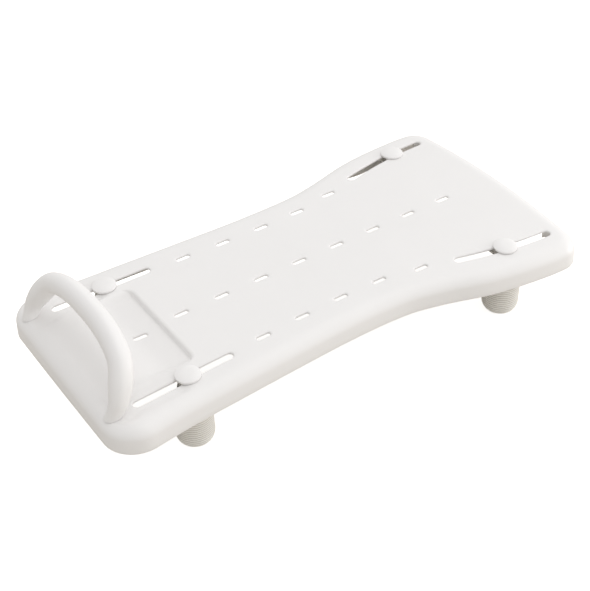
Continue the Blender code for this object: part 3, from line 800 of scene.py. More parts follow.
@dataclass(frozen=True)
class Outline:
    """The board seen from above: waisted sides, bowed ends and round corners."""

    length: float = 699.5
    left_corner: float = 43.3
    right_corner: float = 34.1
    left_bow: float = 0.00003
    right_bow: float = 0.00017
    # Rough turn of the outline where an end meets its corners, in radians
    end_turn: float = 0.1
    fit_rounds: int = 30
    # Widest gaps between points: on the sides and the right end, on the left end, and round a corner
    gap: float = 8.0
    left_gap: float = 6.0
    corner_degrees: float = 5.0
    # Place along the board and half width there
    stations: tuple[Pair, ...] = (
        (-352.0, 164.8), (-254.7, 153.5), (-174.7, 148.6), (-90.7, 143.9), (-4.7, 140.2),
        (77.3, 142.1), (125.3, 151.6), (197.3, 171.8), (281.3, 182.4), (342.6, 182.7),
    )

    def half_width(self, x: float) -> float:
        """Half width of the board at x, on a cubic curve through the stations."""
        reach, widths = zip(*self.stations)
        return Curve(reach, widths).at(min(max(x, reach[0]), reach[-1]))[0]

    def side_angle(self, x: float) -> float:
        """Angle of the long side at x."""
        return math.atan((self.half_width(x + 1.0) - self.half_width(x - 1.0)) / 2.0)

    def corner(self, end: End) -> tuple[float, float, float, float]:
        """Fit a corner's arc between the end and the side.

        Args:
            end: Which end of the board.

        Returns:
            Centre of the rear corner's arc, and the angles at which it meets the end and the side.
        """
        sign = 1.0 if end is End.RIGHT else -1.0
        bow = self.right_bow if end is End.RIGHT else self.left_bow
        radius = self.right_corner if end is End.RIGHT else self.left_corner
        cx = sign * (self.length / 2.0 - radius)
        cy = self.half_width(cx) - radius
        tilt = turn = 0.0
        for _ in range(self.fit_rounds):
            tilt = self.side_angle(cx)
            turn = math.atan(2.0 * bow * (cy + radius * math.sin(self.end_turn)))
            cy = self.half_width(cx - radius * math.sin(tilt)) - radius * math.cos(tilt)
            touch_y = cy + radius * math.sin(turn)
            cx = sign * (self.length / 2.0 - bow * touch_y * touch_y - radius * math.cos(turn))
        return cx, cy, turn, tilt

    def arc(self, end: End, start: float, stop: float) -> list[Triple]:
        """Follow the round of one rear corner.

        Args:
            end: Which end of the board.
            start: Outward direction where it starts.
            stop: Outward direction where it stops.

        Returns:
            Place along the board, place across it and outward direction of each point.
        """
        cx, cy, *_ = self.corner(end)
        radius = self.right_corner if end is End.RIGHT else self.left_corner
        angles = spaced(start, stop, math.radians(self.corner_degrees))
        return [(cx + radius * math.cos(a), cy + radius * math.sin(a), a) for a in angles]

    def points(self) -> list[Triple]:
        """Walk round the board from the right end's middle.

        Returns:
            Place along the board, place across it and outward direction of each point.
        """
        reach = self.length / 2.0
        _, cy, turn, tilt = self.corner(End.RIGHT)
        half: list[Triple] = []
        for y in spaced(0.0, cy + self.right_corner * math.sin(turn), self.gap)[:-1]:
            half.append((reach - self.right_bow * y * y, y, math.atan(2.0 * self.right_bow * y)))
        half += self.arc(End.RIGHT, turn, math.pi / 2.0 + tilt)
        cx, _, turn, tilt = self.corner(End.LEFT)
        for x in spaced(half[-1][0], cx - self.left_corner * math.sin(tilt), self.gap)[1:-1]:
            half.append((x, self.half_width(x), math.pi / 2.0 + self.side_angle(x)))
        half += self.arc(End.LEFT, math.pi / 2.0 + tilt, math.pi - turn)
        for y in spaced(half[-1][1], 0.0, self.left_gap)[1:]:
            half.append((-reach + self.left_bow * y * y, y, math.pi - math.atan(2.0 * self.left_bow * y)))
        return half + [(x, -y, -angle) for x, y, angle in reversed(half[1:-1])]


@dataclass(frozen=True)
class Relief:
    """Soap dish with its upright wall, and the two channels beside it."""

    depth: float = 8.0
    wall_x: float = -204.1
    half_width: float = 87.0
    floor_half: float = 73.0
    corner: float = 14.0
    # Where the dish's floor starts to fall and where it is level
    ramp: Pair = (-284.8, -232.8)
    lip: float = 4.4
    root: float = 2.6
    # Distance inside the wall's line at which its steep face starts, and the face's width in plan
    face: Pair = (0.2, 0.7)
    under_shift: float = 3.0
    under_round: float = -0.9
    curl_ease: float = 40.0
    curl_past: float = 0.2
    # Distance past the dish's side at which the curl starts to fade, and over which it does
    curl_fade: Pair = (3.0, 24.0)
    channel_depth: float = 2.4
    channel_y: float = 107.5
    channel_half: float = 15.0
    channel_bank: float = 9.0
    channel_end: float = -230.0
    channel_run: float = 14.0
    pocket_more: float = 4.0
    pocket_x: float = -300.5

    def wall_at(self, y: float) -> float:
        """Place of the dish's wall, straight in the middle and curled round at both corners."""
        over = min(max(0.0, abs(y) - (self.half_width - self.corner)), self.corner)
        return self.wall_x - (self.corner - math.sqrt(self.corner ** 2 - over ** 2))

    def wall_share(self, inside: float, rounding: float) -> float:
        """Share of the dish's depth at a distance inside its wall: round lip, steep face, hollow root.

        Args:
            inside: Distance from the wall's line into the dish.
            rounding: What is added to both radii, for the underside.

        Returns:
            0 on the seat, 1 on the dish's floor.
        """
        lip, root = self.lip + rounding, self.root + rounding
        start, run = self.face
        if inside <= start - lip:
            return 0.0
        if inside < start:
            return (lip - math.sqrt(max(0.0, lip ** 2 - (inside - start + lip) ** 2))) / self.depth
        if inside < start + run:
            return (lip + (self.depth - lip - root) * (inside - start) / run) / self.depth
        out = start + run + root - inside
        if out <= 0.0:
            return 1.0
        return (self.depth - root + math.sqrt(max(0.0, root ** 2 - out ** 2))) / self.depth

    def height(self, x: float, y: float, edge: float, under: bool = False) -> float:
        """Height of the relief at a plan point.

        Args:
            x: Place along the board.
            y: Place across it.
            edge: Height of the plain board there.
            under: Whether this is the underside, whose wall stands one thickness further out.

        Returns:
            The height with the dish and the channels sunk in.
        """
        shift, rounding = (self.under_shift, self.under_round) if under else (0.0, 0.0)
        along = smooth_step((x - self.ramp[0]) / (self.ramp[1] - self.ramp[0]))
        across = 1.0 - smooth_step((abs(y) - self.floor_half) / (self.half_width - self.floor_half))
        dish = along * across * self.wall_share(self.wall_at(y) + shift - x, rounding)
        half = self.channel_half + self.pocket_more * smooth_step((self.pocket_x - x) / self.channel_run)
        bank = 1.0 - smooth_step((abs(abs(y) - self.channel_y) - half) / self.channel_bank)
        channel = bank * smooth_step((self.channel_end - x) / self.channel_run)
        height = edge * (1.0 - dish) - self.depth * dish
        return min(height, height * (1.0 - channel) - self.channel_depth * channel)

    def curl(self, x: float, y: float) -> float:
        """How far a division line near the wall is drawn round with it.

        Args:
            x: Place along the board.
            y: Place across it.

        Returns:
            The shift along the board.
        """
        start, run = self.curl_fade
        fade = 1.0 - smooth_step((abs(y) - self.half_width - start) / run)
        near = (x - self.wall_x + self.curl_ease) / self.curl_ease
        if near <= 0.0 or x > self.wall_x + self.lip + self.curl_past:
            return 0.0
        return (self.wall_at(y) - self.wall_x) * fade * min(1.0, near)


@dataclass(frozen=True)
class Slots:
    """Drain slots down the middle and on both sides, and the four long foot slots."""

    pitch: float = 60.0
    first_x: float = -234.6
    middle_count: int = 9
    side_count: int = 5
    side_inset: float = 45.8
    # Length and width of a drain slot
    drain: Pair = (21.6, 8.5)
    foot_width: float = 11.0
    # Tips of the rear foot slots, at the left end and at the right
    left: tuple[Pair, Pair] = ((-302.9, 109.6), (-162.4, 104.9))
    right: tuple[Pair, Pair] = ((171.3, 119.0), (316.5, 141.3))
    right_radius: float = 560.0
    steps: int = 12

    def line(self, end: End, inset: float, steps: int) -> Line:
        """Points with directions along the rear foot slot of one end.

        Args:
            end: Which end of the board.
            inset: Length left out at each tip.
            steps: Steps between the points.

        Returns:
            Pairs of point and direction in plan.
        """
        start, stop = (Vector(p) for p in (self.left if end is End.LEFT else self.right))
        if end is End.LEFT:
            along = (stop - start).normalized()
            reach = (stop - start).length - 2.0 * inset
            return [(start + along * (inset + reach * i / steps), along) for i in range(steps + 1)]
        chord = stop - start
        arm = math.sqrt(self.right_radius ** 2 - (chord.length / 2.0) ** 2)
        centre = (start + stop) / 2.0 + right_of(chord).normalized() * arm
        first, last = start - centre, stop - centre
        a0 = math.atan2(first.y, first.x) - inset / self.right_radius
        a1 = math.atan2(last.y, last.x) + inset / self.right_radius
        line = []
        for i in range(steps + 1):
            out = Vector((math.cos(a0 + (a1 - a0) * i / steps), math.sin(a0 + (a1 - a0) * i / steps)))
            line.append((centre + out * self.right_radius, right_of(out)))
        return line

    def outline(self, line: Line, half: float) -> list[Vector]:
        """Outline of a slot with round tips.

        Args:
            line: Its middle line.
            half: Its half width.

        Returns:
            The outline's plan points.
        """
        points = []
        for offset, row in ((half, line), (-half, line[::-1])):
            points += [p + right_of(d) * offset for p, d in row]
            p, d = row[-1]
            for i in range(1, self.steps):
                angle = math.pi * i / self.steps
                points.append(p + right_of(d) * offset * math.cos(angle) + d * offset * math.sin(angle))
        return points

    def lines(self, half_width: Callable[[float], float]) -> list[tuple[Line, float]]:
        """Every slot in the board.

        Args:
            half_width: The board's half width at a place along it.

        Returns:
            Middle line and half width of each slot.
        """
        reach, half = (self.drain[0] - self.drain[1]) / 2.0, self.drain[1] / 2.0
        along = Vector((1.0, 0.0))
        places = [(self.first_x + self.pitch * i, 0.0) for i in range(self.middle_count)]
        for i in range(self.side_count):
            x = self.first_x + self.pitch * (i + 2)
            places += [(x, side * (half_width(x) - self.side_inset)) for side in SIDES]
        found = [([(Vector((x - reach, y)), along), (Vector((x + reach, y)), along)], half) for x, y in places]
        half = self.foot_width / 2.0
        for end in End:
            points, ways = zip(*self.line(end, half, self.steps))
            found += [(list(zip(on_side(points, side), on_side(ways, side))), half) for side in SIDES]
        return found


@dataclass
class SeatBoard:
    """The moulded board: skirt, rolled edge, crowned seat with its relief, slots and ribs."""

    colours: Palette
    skirt: float = 33.9
    # Inset and height of the knee in the skirt's draft
    skirt_knee: Pair = (0.4, -26.0)
    wall: float = 3.0
    draft: float = 0.9
    roll_across: float = 22.2
    roll_down: float = 16.3
    roll_degrees: float = 6.0
    rim_round: float = 0.9
    # Rounding at the top of a slot, and how much narrower than drawn the slot is below it
    slot_edge: Pair = (2.6, 0.2)
    drain_edge: Pair = (2.6, 1.1)
    edge_degrees: float = 15.0
    # Heights above and below the seat that a slot's cutter reaches
    tool_reach: Pair = (6.0, -40.0)
    # Place and radius of the hole for a handle screw, and how deep its cutter goes
    leg_hole: Triple = (-331.8, 112.2, 2.8)
    leg_hole_depth: float = 30.0
    # Handle's end, finely divided: where it ends past the dish's wall, its start and half width, and its gaps
    fine_limit: float = 6.0
    fine_span: Pair = (-338.0, 136.0)
    fine_gap: Pair = (3.0, 2.8)
    # Distances inside the dish's wall of the lines that follow it, and of the last line before them
    wall_lines: tuple[float, ...] = (
        3.5, 2.9, 2.3, 1.8, 1.4, 1.1, 0.9, 0.55, 0.2, -0.2, -0.7, -1.3, -2.0, -2.8, -3.6, -4.4,
    )
    wall_clear: float = 5.0
    # The rest, coarsely divided: its start, end and half width, and its gap
    coarse_span: Triple = (-186.0, 345.0, 176.0)
    coarse_gap: float = 11.0
    # How far past the fine part, and below the rolled edge, the relief still counts
    relief_slack: Pair = (0.5, 0.1)
    rib_thick: float = 2.4
    rib_root: float = 1.2
    rib_gap: float = 6.0
    # Shares of a rib's thickness above its lower edge and at it, and the height from one to the other
    rib_edge: Triple = (0.4, 0.25, 0.5)
    long_rib: float = 13.0
    cross_rib: float = 9.0
    # Rows of long ribs beside the middle, and where each starts
    rib_rows: Pair = (50.0, 80.0)
    rib_starts: Pair = (-332.0, 150.0)
    rib_stop: float = 334.0
    # Half reach of the cross ribs at the left, their gap to the sides in the middle, half reach at the right
    cross_reach: Triple = (76.0, 6.5, 81.0)
    # Numbers of the first cross rib in the middle and of the first at the right
    cross_change: tuple[int, int] = (2, 6)
    rail_offset: float = 22.2
    rail_bottom: float = 12.0
    rail_thick: float = 2.6
    rail_steps: int = 24
    edge_rib_offset: float = 28.4
    edge_rib_depth: float = 31.0
    edge_rib_start: float = 2.0
    edge_rib_share: float = 0.66
    # Where the rib starts to deepen, reaches its share, is full and starts to rise again
    edge_rib_slope: tuple[float, float, float, float] = (140.0, 163.0, 228.0, 306.0)
    edge_rib_lead: float = 22.0
    # Share of its depth that it rises by, and over which length
    edge_rib_end: Pair = (0.55, 14.0)
    edge_rib_steps: int = 30
    collar_gap: float = 1.3
    collar_depth: float = 11.6
    collar_thick: float = 2.2
    collar_degrees: float = 10.0
    crown: Crown = field(default_factory=Crown)
    plan: Outline = field(default_factory=Outline)
    relief: Relief = field(default_factory=Relief)
    slots: Slots = field(default_factory=Slots)

    def edge_profile(self, under: bool) -> list[Pair]:
        """Rings of the skirt and the rolled edge.

        Args:
            under: Whether it is the inner skin.

        Returns:
            Inset and height of each ring, from the rim up to the flat.
        """
        rings = [(0.0, -self.skirt + self.rim_round), self.skirt_knee]
        for angle in spaced(0.0, math.pi / 2.0, math.radians(self.roll_degrees)):
            inset = self.draft + self.roll_across * (1.0 - math.cos(angle))
            rings.append((inset, -self.roll_down * (1.0 - math.sin(angle))))
        turn = self.rim_round * (1.0 - math.sqrt(0.5))
        if not under:
            return [(self.rim_round, -self.skirt), (turn, -self.skirt + turn)] + rings
        inner = [(self.wall - self.rim_round, -self.skirt), (self.wall - turn, -self.skirt + turn)]
        for i, (inset, height) in enumerate(rings):
            low, high = rings[max(0, i - 1)], rings[min(len(rings) - 1, i + 1)]
            step = Vector((high[0] - low[0], high[1] - low[1])).normalized()
            inner.append((inset + step.y * self.wall, height - step.x * self.wall))
        inner[-1] = (inner[-1][0], -self.wall)
        return inner

    def surface(self, x: float, y: float) -> float:
        """Height of the seat's flat at a plan point, crown and relief together."""
        return self.relief.height(x, y, 0.0) + self.crown.height(x, y)

    def edge_height(self, x: float, y: float) -> float:
        """Height of the board's top.

        Args:
            x: Place along the board.
            y: Place across it.

        Returns:
            The height there, rolled edge included.
        """
        inset = min(self.plan.half_width(x) - abs(y), self.plan.length / 2.0 - abs(x))
        share = min(1.0, max(0.0, 1.0 - (inset - self.draft) / self.roll_across))
        drop = self.roll_down * (1.0 - math.sqrt(1.0 - share * share))
        return self.surface(x, y) - drop

    def division_lines(self) -> list[tuple[int, float, list[float]]]:
        """Lay out the lines that divide the flat.

        Returns:
            Axis, side of the limit and places of each set: fine lines at the handle's end, finest
            across the dish's wall, and coarse lines on the rest.
        """
        wall = self.relief.wall_x
        (start, side), (gap, side_gap) = self.fine_span, self.fine_gap
        left, right, rest = self.coarse_span
        across = spaced(start, wall - self.wall_clear, gap) + [wall - inside for inside in self.wall_lines]
        return [
            (0, -1.0, across),
            (1, -1.0, spaced(-side, side, side_gap)),
            (0, 1.0, spaced(left, right, self.coarse_gap)),
            (1, 1.0, spaced(-rest, rest, self.coarse_gap)),
        ]

    def skin(self, name: str, under: bool) -> Object:
        """Model the upper or the inner skin as one open surface.

        Args:
            name: Name of the mesh.
            under: Whether it is the inner skin.

        Returns:
            The surface, crowned and with its relief.
        """
        level = -self.wall if under else 0.0
        outline = self.plan.points()
        rings = [
            [Vector((x - inset * math.cos(a), y - inset * math.sin(a), z)) for x, y, a in outline]
            for inset, z in self.edge_profile(under)
        ]
        piece = Bench.loft(name, rings, Closing.OPEN, Closing.FACE)
        limit = self.relief.wall_x + self.fine_limit
        with Bench.editing(piece, "FACE"):
            self.divide(piece, level, 0, limit)
            for axis, side, places in self.division_lines():
                for place in places:
                    self.divide(piece, level, axis, place, (side, limit))
        past, below = self.relief_slack
        for vert in piece.data.vertices:
            x, y, z = vert.co / MM
            if z > -self.roll_down - below and x < limit + past:
                x += self.relief.curl(x, y)
                z = self.relief.height(x, y, z - level, under) + level
            vert.co = Vector((x, y, z + self.crown.height(x, y) + SEAT_Z)) * MM
        return piece

    def divide(self, piece: Object, level: float, axis: int, place: float, part: Pair | None = None) -> None:
        """Bisect the flat of a skin along one upright plane.

        Args:
            piece: The skin, in edit mode.
            level: Height of its flat.
            axis: 0 for a plane across the board, 1 for one along it.
            place: Where the plane stands on its axis.
            part: Side and limit along X that the cut keeps to, or None for the whole flat.
        """
        mesh = bmesh.from_edit_mesh(piece.data)
        for face in mesh.faces:
            face.select = False
        found = False
        for face in mesh.faces:
            if any(abs(v.co.z - level * MM) > SAME for v in face.verts):
                continue
            if part is not None and (face.calc_center_median().x - part[1] * MM) * part[0] < 0.0:
                continue
            sides = [v.co[axis] - place * MM for v in face.verts]
            if min(sides) < -NEAR and max(sides) > NEAR:
                face.select = found = True
        mesh.select_flush_mode()
        bmesh.update_edit_mesh(piece.data)
        if found:
            normal = Vector((1.0 - axis, axis, 0.0))
            bpy.ops.mesh.bisect(plane_co=normal * place * MM, plane_no=normal, use_fill=False, threshold=SAME)

    def shell(self) -> Object:
        """Bridge the upper and the inner skin along the rim.

        Returns:
            The board as one closed shell.
        """
        piece = Bench.join("seat_board_shell", [self.skin("upper_skin", False), self.skin("inner_skin", True)])
        with Bench.editing(piece):
            Bench.select_verts(piece, lambda v: v.is_boundary)
            bpy.ops.mesh.select_mode(type="EDGE")
            bpy.ops.mesh.bridge_edge_loops()
            Bench.face_out()
        return piece

    def slot_tool(self, line: Line, half: float) -> Object:
        """Model the cutter for one slot, flared at the top so that it leaves a rounded rim.

        Args:
            line: The slot's middle line.
            half: Its half width.

        Returns:
            The cutter.
        """
        radius, narrower = self.drain_edge if half < self.slots.foot_width / 2.0 else self.slot_edge
        half -= narrower
        flare = [(radius, self.tool_reach[0])]
        for angle in spaced(0.0, math.pi / 2.0, math.radians(self.edge_degrees)):
            flare.append((radius * (1.0 - math.sin(angle)), -radius * (1.0 - math.cos(angle))))
        rings = []
        for more, rise in flare:
            outline = self.slots.outline(line, half + more)
            rings.append([Vector((p.x, p.y, SEAT_Z + rise + self.surface(p.x, p.y))) for p in outline])
        rings.append([Vector((p.x, p.y, SEAT_Z + self.tool_reach[1])) for p in self.slots.outline(line, half)])
        return Bench.loft("slot_tool", rings)

    def cut_slots(self, board: Object) -> None:
        """Cut every slot and the two holes for the handle's screws.

        Args:
            board: The shell that they are cut in.
        """
        tools = [self.slot_tool(line, half) for line, half in self.slots.lines(self.plan.half_width)]
        x, y, radius = self.leg_hole
        for side in SIDES:
            profile = [(radius, SEAT_Z), (radius, SEAT_Z - self.leg_hole_depth)]
            hole = Bench.turned("leg_hole_tool", profile, sides=24)
            hole.data.transform(Matrix.Translation(Vector((x, y * side, 0.0)) * MM))
            tools.append(hole)
        Bench.cut(board, "DIFFERENCE", Bench.join("slot_tools", tools))

    def strip(self, name: str, line: Sequence[Vector], bottom: Callable[[float, float], float],
              thick: float) -> Object:
        """Model one rib under the seat, drafted to its lower edge and rooted in the plate.

        Args:
            name: Name of the mesh.
            line: Plan points along the rib.
            bottom: Height of its lower edge at a plan point.
            thick: Thickness at its root.

        Returns:
            The rib.
        """
        rings = []
        drafted, narrow, rise = self.rib_edge
        for i, point in enumerate(line):
            before, after = line[max(0, i - 1)], line[min(len(line) - 1, i + 1)]
            side = right_of((after - before).normalized())
            low = bottom(point.x, point.y)
            root = self.edge_height(point.x, point.y) - self.wall + self.rib_root
            profile = [(thick / 2.0, root), (thick * drafted, low + rise), (thick * narrow, low)]
            profile += [(-offset, height) for offset, height in reversed(profile)]
            ring = []
            for offset, height in profile:
                place = point + side * offset
                ring.append(Vector((place.x, place.y, SEAT_Z + max(height, low))))
            rings.append(ring)
        return Bench.loft(name, rings)

    def travel_height(self, end: End, x: float) -> float:
        """Height of the plane in which the feet of one end travel.

        Args:
            end: Which end of the board.
            x: Place along the board.

        Returns:
            The height there.
        """
        (x0, y0), (x1, y1) = self.slots.left if end is End.LEFT else self.slots.right
        low, high = self.crown.height(x0, y0), self.crown.height(x1, y1)
        return (low + high) / 2.0 + (high - low) / (x1 - x0) * (x - (x0 + x1) / 2.0)

    def below_travel(self, end: End, depth: float, x: float, _y: float) -> float:
        """Height of an edge that lies a depth below the plane in which the feet travel."""
        return self.travel_height(end, x) - depth

    def ribs(self) -> Object:
        """Model all that stands under the seat: ribs, rails beside the foot slots, and collars.

        Returns:
            All of them as one mesh.
        """
        strips = []
        for side in SIDES:
            for row, start in zip(self.rib_rows, self.rib_starts):
                line = [Vector((x, side * row)) for x in spaced(start, self.rib_stop, self.rib_gap)]
                strips.append(self.strip("long_rib", line, lambda x, y: -self.long_rib, self.rib_thick))
        left, gap, right = self.cross_reach
        middle, last = self.cross_change
        for k in range(1, self.slots.middle_count):
            x = self.slots.first_x + self.slots.pitch * (k + 0.5)
            reach = left if k < middle else (self.plan.half_width(x) - gap if k < last else right)
            line = [Vector((x, y)) for y in spaced(-reach, reach, self.rib_gap)]
            strips.append(self.strip("cross_rib", line, lambda x, y: -self.cross_rib, self.rib_thick))
        for end in End:
            bottom = partial(self.below_travel, end, self.rail_bottom)
            for side in SIDES:
                for offset in (-self.rail_offset, self.rail_offset):
                    line = [p + right_of(d) * offset for p, d in self.slots.line(end, 0.0, self.rail_steps)]
                    strips.append(self.strip("rail", on_side(line, side), bottom, self.rail_thick))
        slot = self.slots.line(End.RIGHT, 0.0, self.edge_rib_steps)
        edge = [p - right_of(d) * self.edge_rib_offset for p, d in slot]
        edge.insert(0, edge[0] + (edge[0] - edge[1]).normalized() * self.edge_rib_lead)
        for side in SIDES:
            strips.append(self.strip("edge_rib", on_side(edge, side), self.edge_rib_bottom, self.rib_thick))
            strips.append(self.collar(side))
        return Bench.join("seat_board_ribs", strips)

    def edge_rib_bottom(self, x: float, y: float) -> float:
        """Lower edge of the ribs outside the right foot slots, sloped at both ends.

        Args:
            x: Place along the board.
            y: Place across it.

        Returns:
            The height there.
        """
        start, first, second, stop = self.edge_rib_slope
        shallow, knee = self.edge_rib_start, self.edge_rib_depth * self.edge_rib_share
        depth = shallow + (knee - shallow) * smooth_step((x - start) / (first - start))
        depth += (self.edge_rib_depth - knee) * smooth_step((x - first) / (second - first))
        lift, run = self.edge_rib_end
        depth *= 1.0 - lift * smooth_step((x - stop) / run)
        return self.crown.height(x, y) - depth

    def collar(self, side: float) -> Object:
        """Model the collar under the outer tip of one right foot slot.

        Args:
            side: 1 for the rear slot, -1 for the front one.

        Returns:
            The collar.
        """
        half = self.slots.foot_width / 2.0
        tip, along = self.slots.line(End.RIGHT, half, self.slots.steps)[-1]
        line = []
        for angle in spaced(-math.pi / 2.0, math.pi / 2.0, math.radians(self.collar_degrees)):
            out = along * math.cos(angle) + right_of(along) * math.sin(angle)
            line.append(tip + out * (half + self.collar_gap))
        bottom = partial(self.below_travel, End.RIGHT, self.collar_depth)
        return self.strip("slot_collar", on_side(line, side), bottom, self.collar_thick)

    def build(self) -> None:
        """Build the board and let it stand for its CAD node."""
        shell = self.shell()
        self.cut_slots(shell)
        self.colours.dress(shell, 32.0, "white_plastic", "board", "seat_board")
        self.colours.dress(self.ribs(), 40.0, "white_plastic", "board", "seat_board")


# Arch handle


@dataclass
class ArchHandle:
    """The bow over the soap dish, thick at the crown and thin at its legs, with its two screws."""

    colours: Palette
    base_x: float = -329.0
    lean: float = 0.53
    # Middle line of the front half: place across the board, and height over the seat
    knots: tuple[Pair, ...] = ((-112.5, -14.0), (-113.2, 17.1), (-84.8, 53.5), (0.0, 66.0))
    # Width and depth of the section, at the crown and at the legs
    top: Pair = (28.7, 27.5)
    leg: Pair = (19.4, 17.0)
    # Height at which the bow starts to swell, and the share of its own height over which it does
    swell: Pair = (-5.0, 0.6)
    # Powers of a circle's shape that flatten the section's sides, and its inner side
    squareness: Pair = (0.85, 0.82)
    stand_z: float = -4.4
    sections: int = 104
    sides: int = 44
    # Radius and height of the screw's tip
    tip: Pair = (1.6, 0.3)
    # Radius of the thread's crest and root, how far down each turn they lie, and the pitch
    crest: Pair = (2.2, 0.4)
    root: Pair = (1.75, 1.0)
    pitch: float = 1.2
    turns: int = 9
    # Radius and height round the screw's head
    head: tuple[Pair, ...] = (
        (2.2, -17.1), (4.6, -17.1), (4.75, -17.6), (4.6, -18.6), (3.9, -19.6), (2.6, -20.2), (0.0, -20.4),
    )
    # Length, width and depth of the two cutters of the cross recess, and the height of their middle
    blade: Triple = (4.4, 0.85, 3.2)
    blade_z: float = -20.0
    # Radius and height round the washer's section
    washer: tuple[Pair, ...] = (
        (6.8, -0.2), (6.8, -1.0), (6.6, -1.2), (2.8, -1.2), (2.7, -1.1), (2.7, -0.1), (2.8, 0.0), (6.6, 0.0),
        (6.8, -0.2),
    )

    def line(self) -> Line:
        """Follow the arch from the front leg to the rear.

        Returns:
            Its middle line as (y, z) points with directions.
        """
        front = [Vector(knot) for knot in self.knots]
        knots = front + [Vector((-y, z)) for y, z in reversed(front[:-1])]
        reach = [0.0]
        for a, b in zip(knots, knots[1:]):
            reach.append(reach[-1] + (b - a).length)
        curve = Curve(reach, knots)
        found = [curve.at(reach[-1] * i / self.sections) for i in range(self.sections + 1)]
        return [(point, along.normalized()) for point, along in found]

    def section(self, point: Vector, along: Vector) -> list[Vector]:
        """One section of the arch, a soft square flattened on its inner side.

        Args:
            point: Middle of the section as (y, z).
            along: Direction of the arch there.

        Returns:
            The ring of points.
        """
        up = Vector((self.lean, 0.0, 1.0)).normalized()
        across = Vector((1.0, 0.0, -self.lean)).normalized()
        share = smooth_step((point.y - self.swell[0]) / (self.swell[1] * self.knots[-1][1]))
        half_w = (self.leg[0] + (self.top[0] - self.leg[0]) * share) / 2.0
        half_d = (self.leg[1] + (self.top[1] - self.leg[1]) * share) / 2.0
        centre = Vector((self.base_x + self.lean * point.y, point.x, point.y + SEAT_Z))
        outward = (up * along.x - Vector((0.0, along.y, 0.0))).normalized()
        ring = []
        for i in range(self.sides):
            angle = 2.0 * math.pi * i / self.sides
            c, s = math.cos(angle), math.sin(angle)
            wide = math.copysign(abs(c) ** self.squareness[0], c) * half_w
            deep = math.copysign(abs(s) ** (self.squareness[1] if s < 0.0 else 1.0), s) * half_d
            ring.append(centre + across * wide + outward * deep)
        return ring

    def bow(self) -> Object:
        """Loft the bow and saw its legs off level.

        Returns:
            The bow.
        """
        piece = Bench.loft("arch_handle_bow", [self.section(p, d) for p, d in self.line()])
        level = (SEAT_Z + self.stand_z) * MM
        with Bench.editing(piece):
            bpy.ops.mesh.bisect(plane_co=(0.0, 0.0, level), plane_no=(0.0, 0.0, 1.0), use_fill=True,
                                clear_inner=True, threshold=SAME)
        return piece

    def screw(self) -> Object:
        """Turn a pan-head screw and cut its cross recess.

        Returns:
            The screw, its head down.
        """
        profile = [(0.0, self.tip[1]), self.tip]
        for i in range(self.turns):
            profile += [(radius, -self.pitch * i - down) for radius, down in (self.crest, self.root)]
        piece = Bench.turned("handle_screw", profile + list(self.head), sides=40)
        wide, thin, deep = self.blade
        for size in ((wide, thin, deep), (thin, wide, deep)):
            Bench.cut(piece, "DIFFERENCE", Bench.block(size, self.blade_z))
        return piece

    def build(self) -> None:
        """Build the handle, its screws and washers."""
        self.colours.dress(self.bow(), 50.0, "white_plastic", "board", "arch_handle")
        screw = self.screw()
        washer = Bench.turned("handle_washer", self.washer, sides=48)
        for word in ("front", "rear"):
            for model, node, ending in ((screw, "handle_screw", "head"), (washer, "handle_washer", "ring")):
                low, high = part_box(f"{node}_{word}")
                top = low.z - self.head[-1][1] * MM if model is screw else high.z
                place = Matrix.Translation(((low.x + high.x) / 2.0, (low.y + high.y) / 2.0, top))
                made = Bench.copy(model, f"{node}_{word}_{ending}", place)
                self.colours.dress(made, 30.0, "zinc_steel", "board", f"{node}_{word}")
        for spare in (screw, washer):
            bpy.data.objects.remove(spare, do_unlink=True)


# Clamp feet


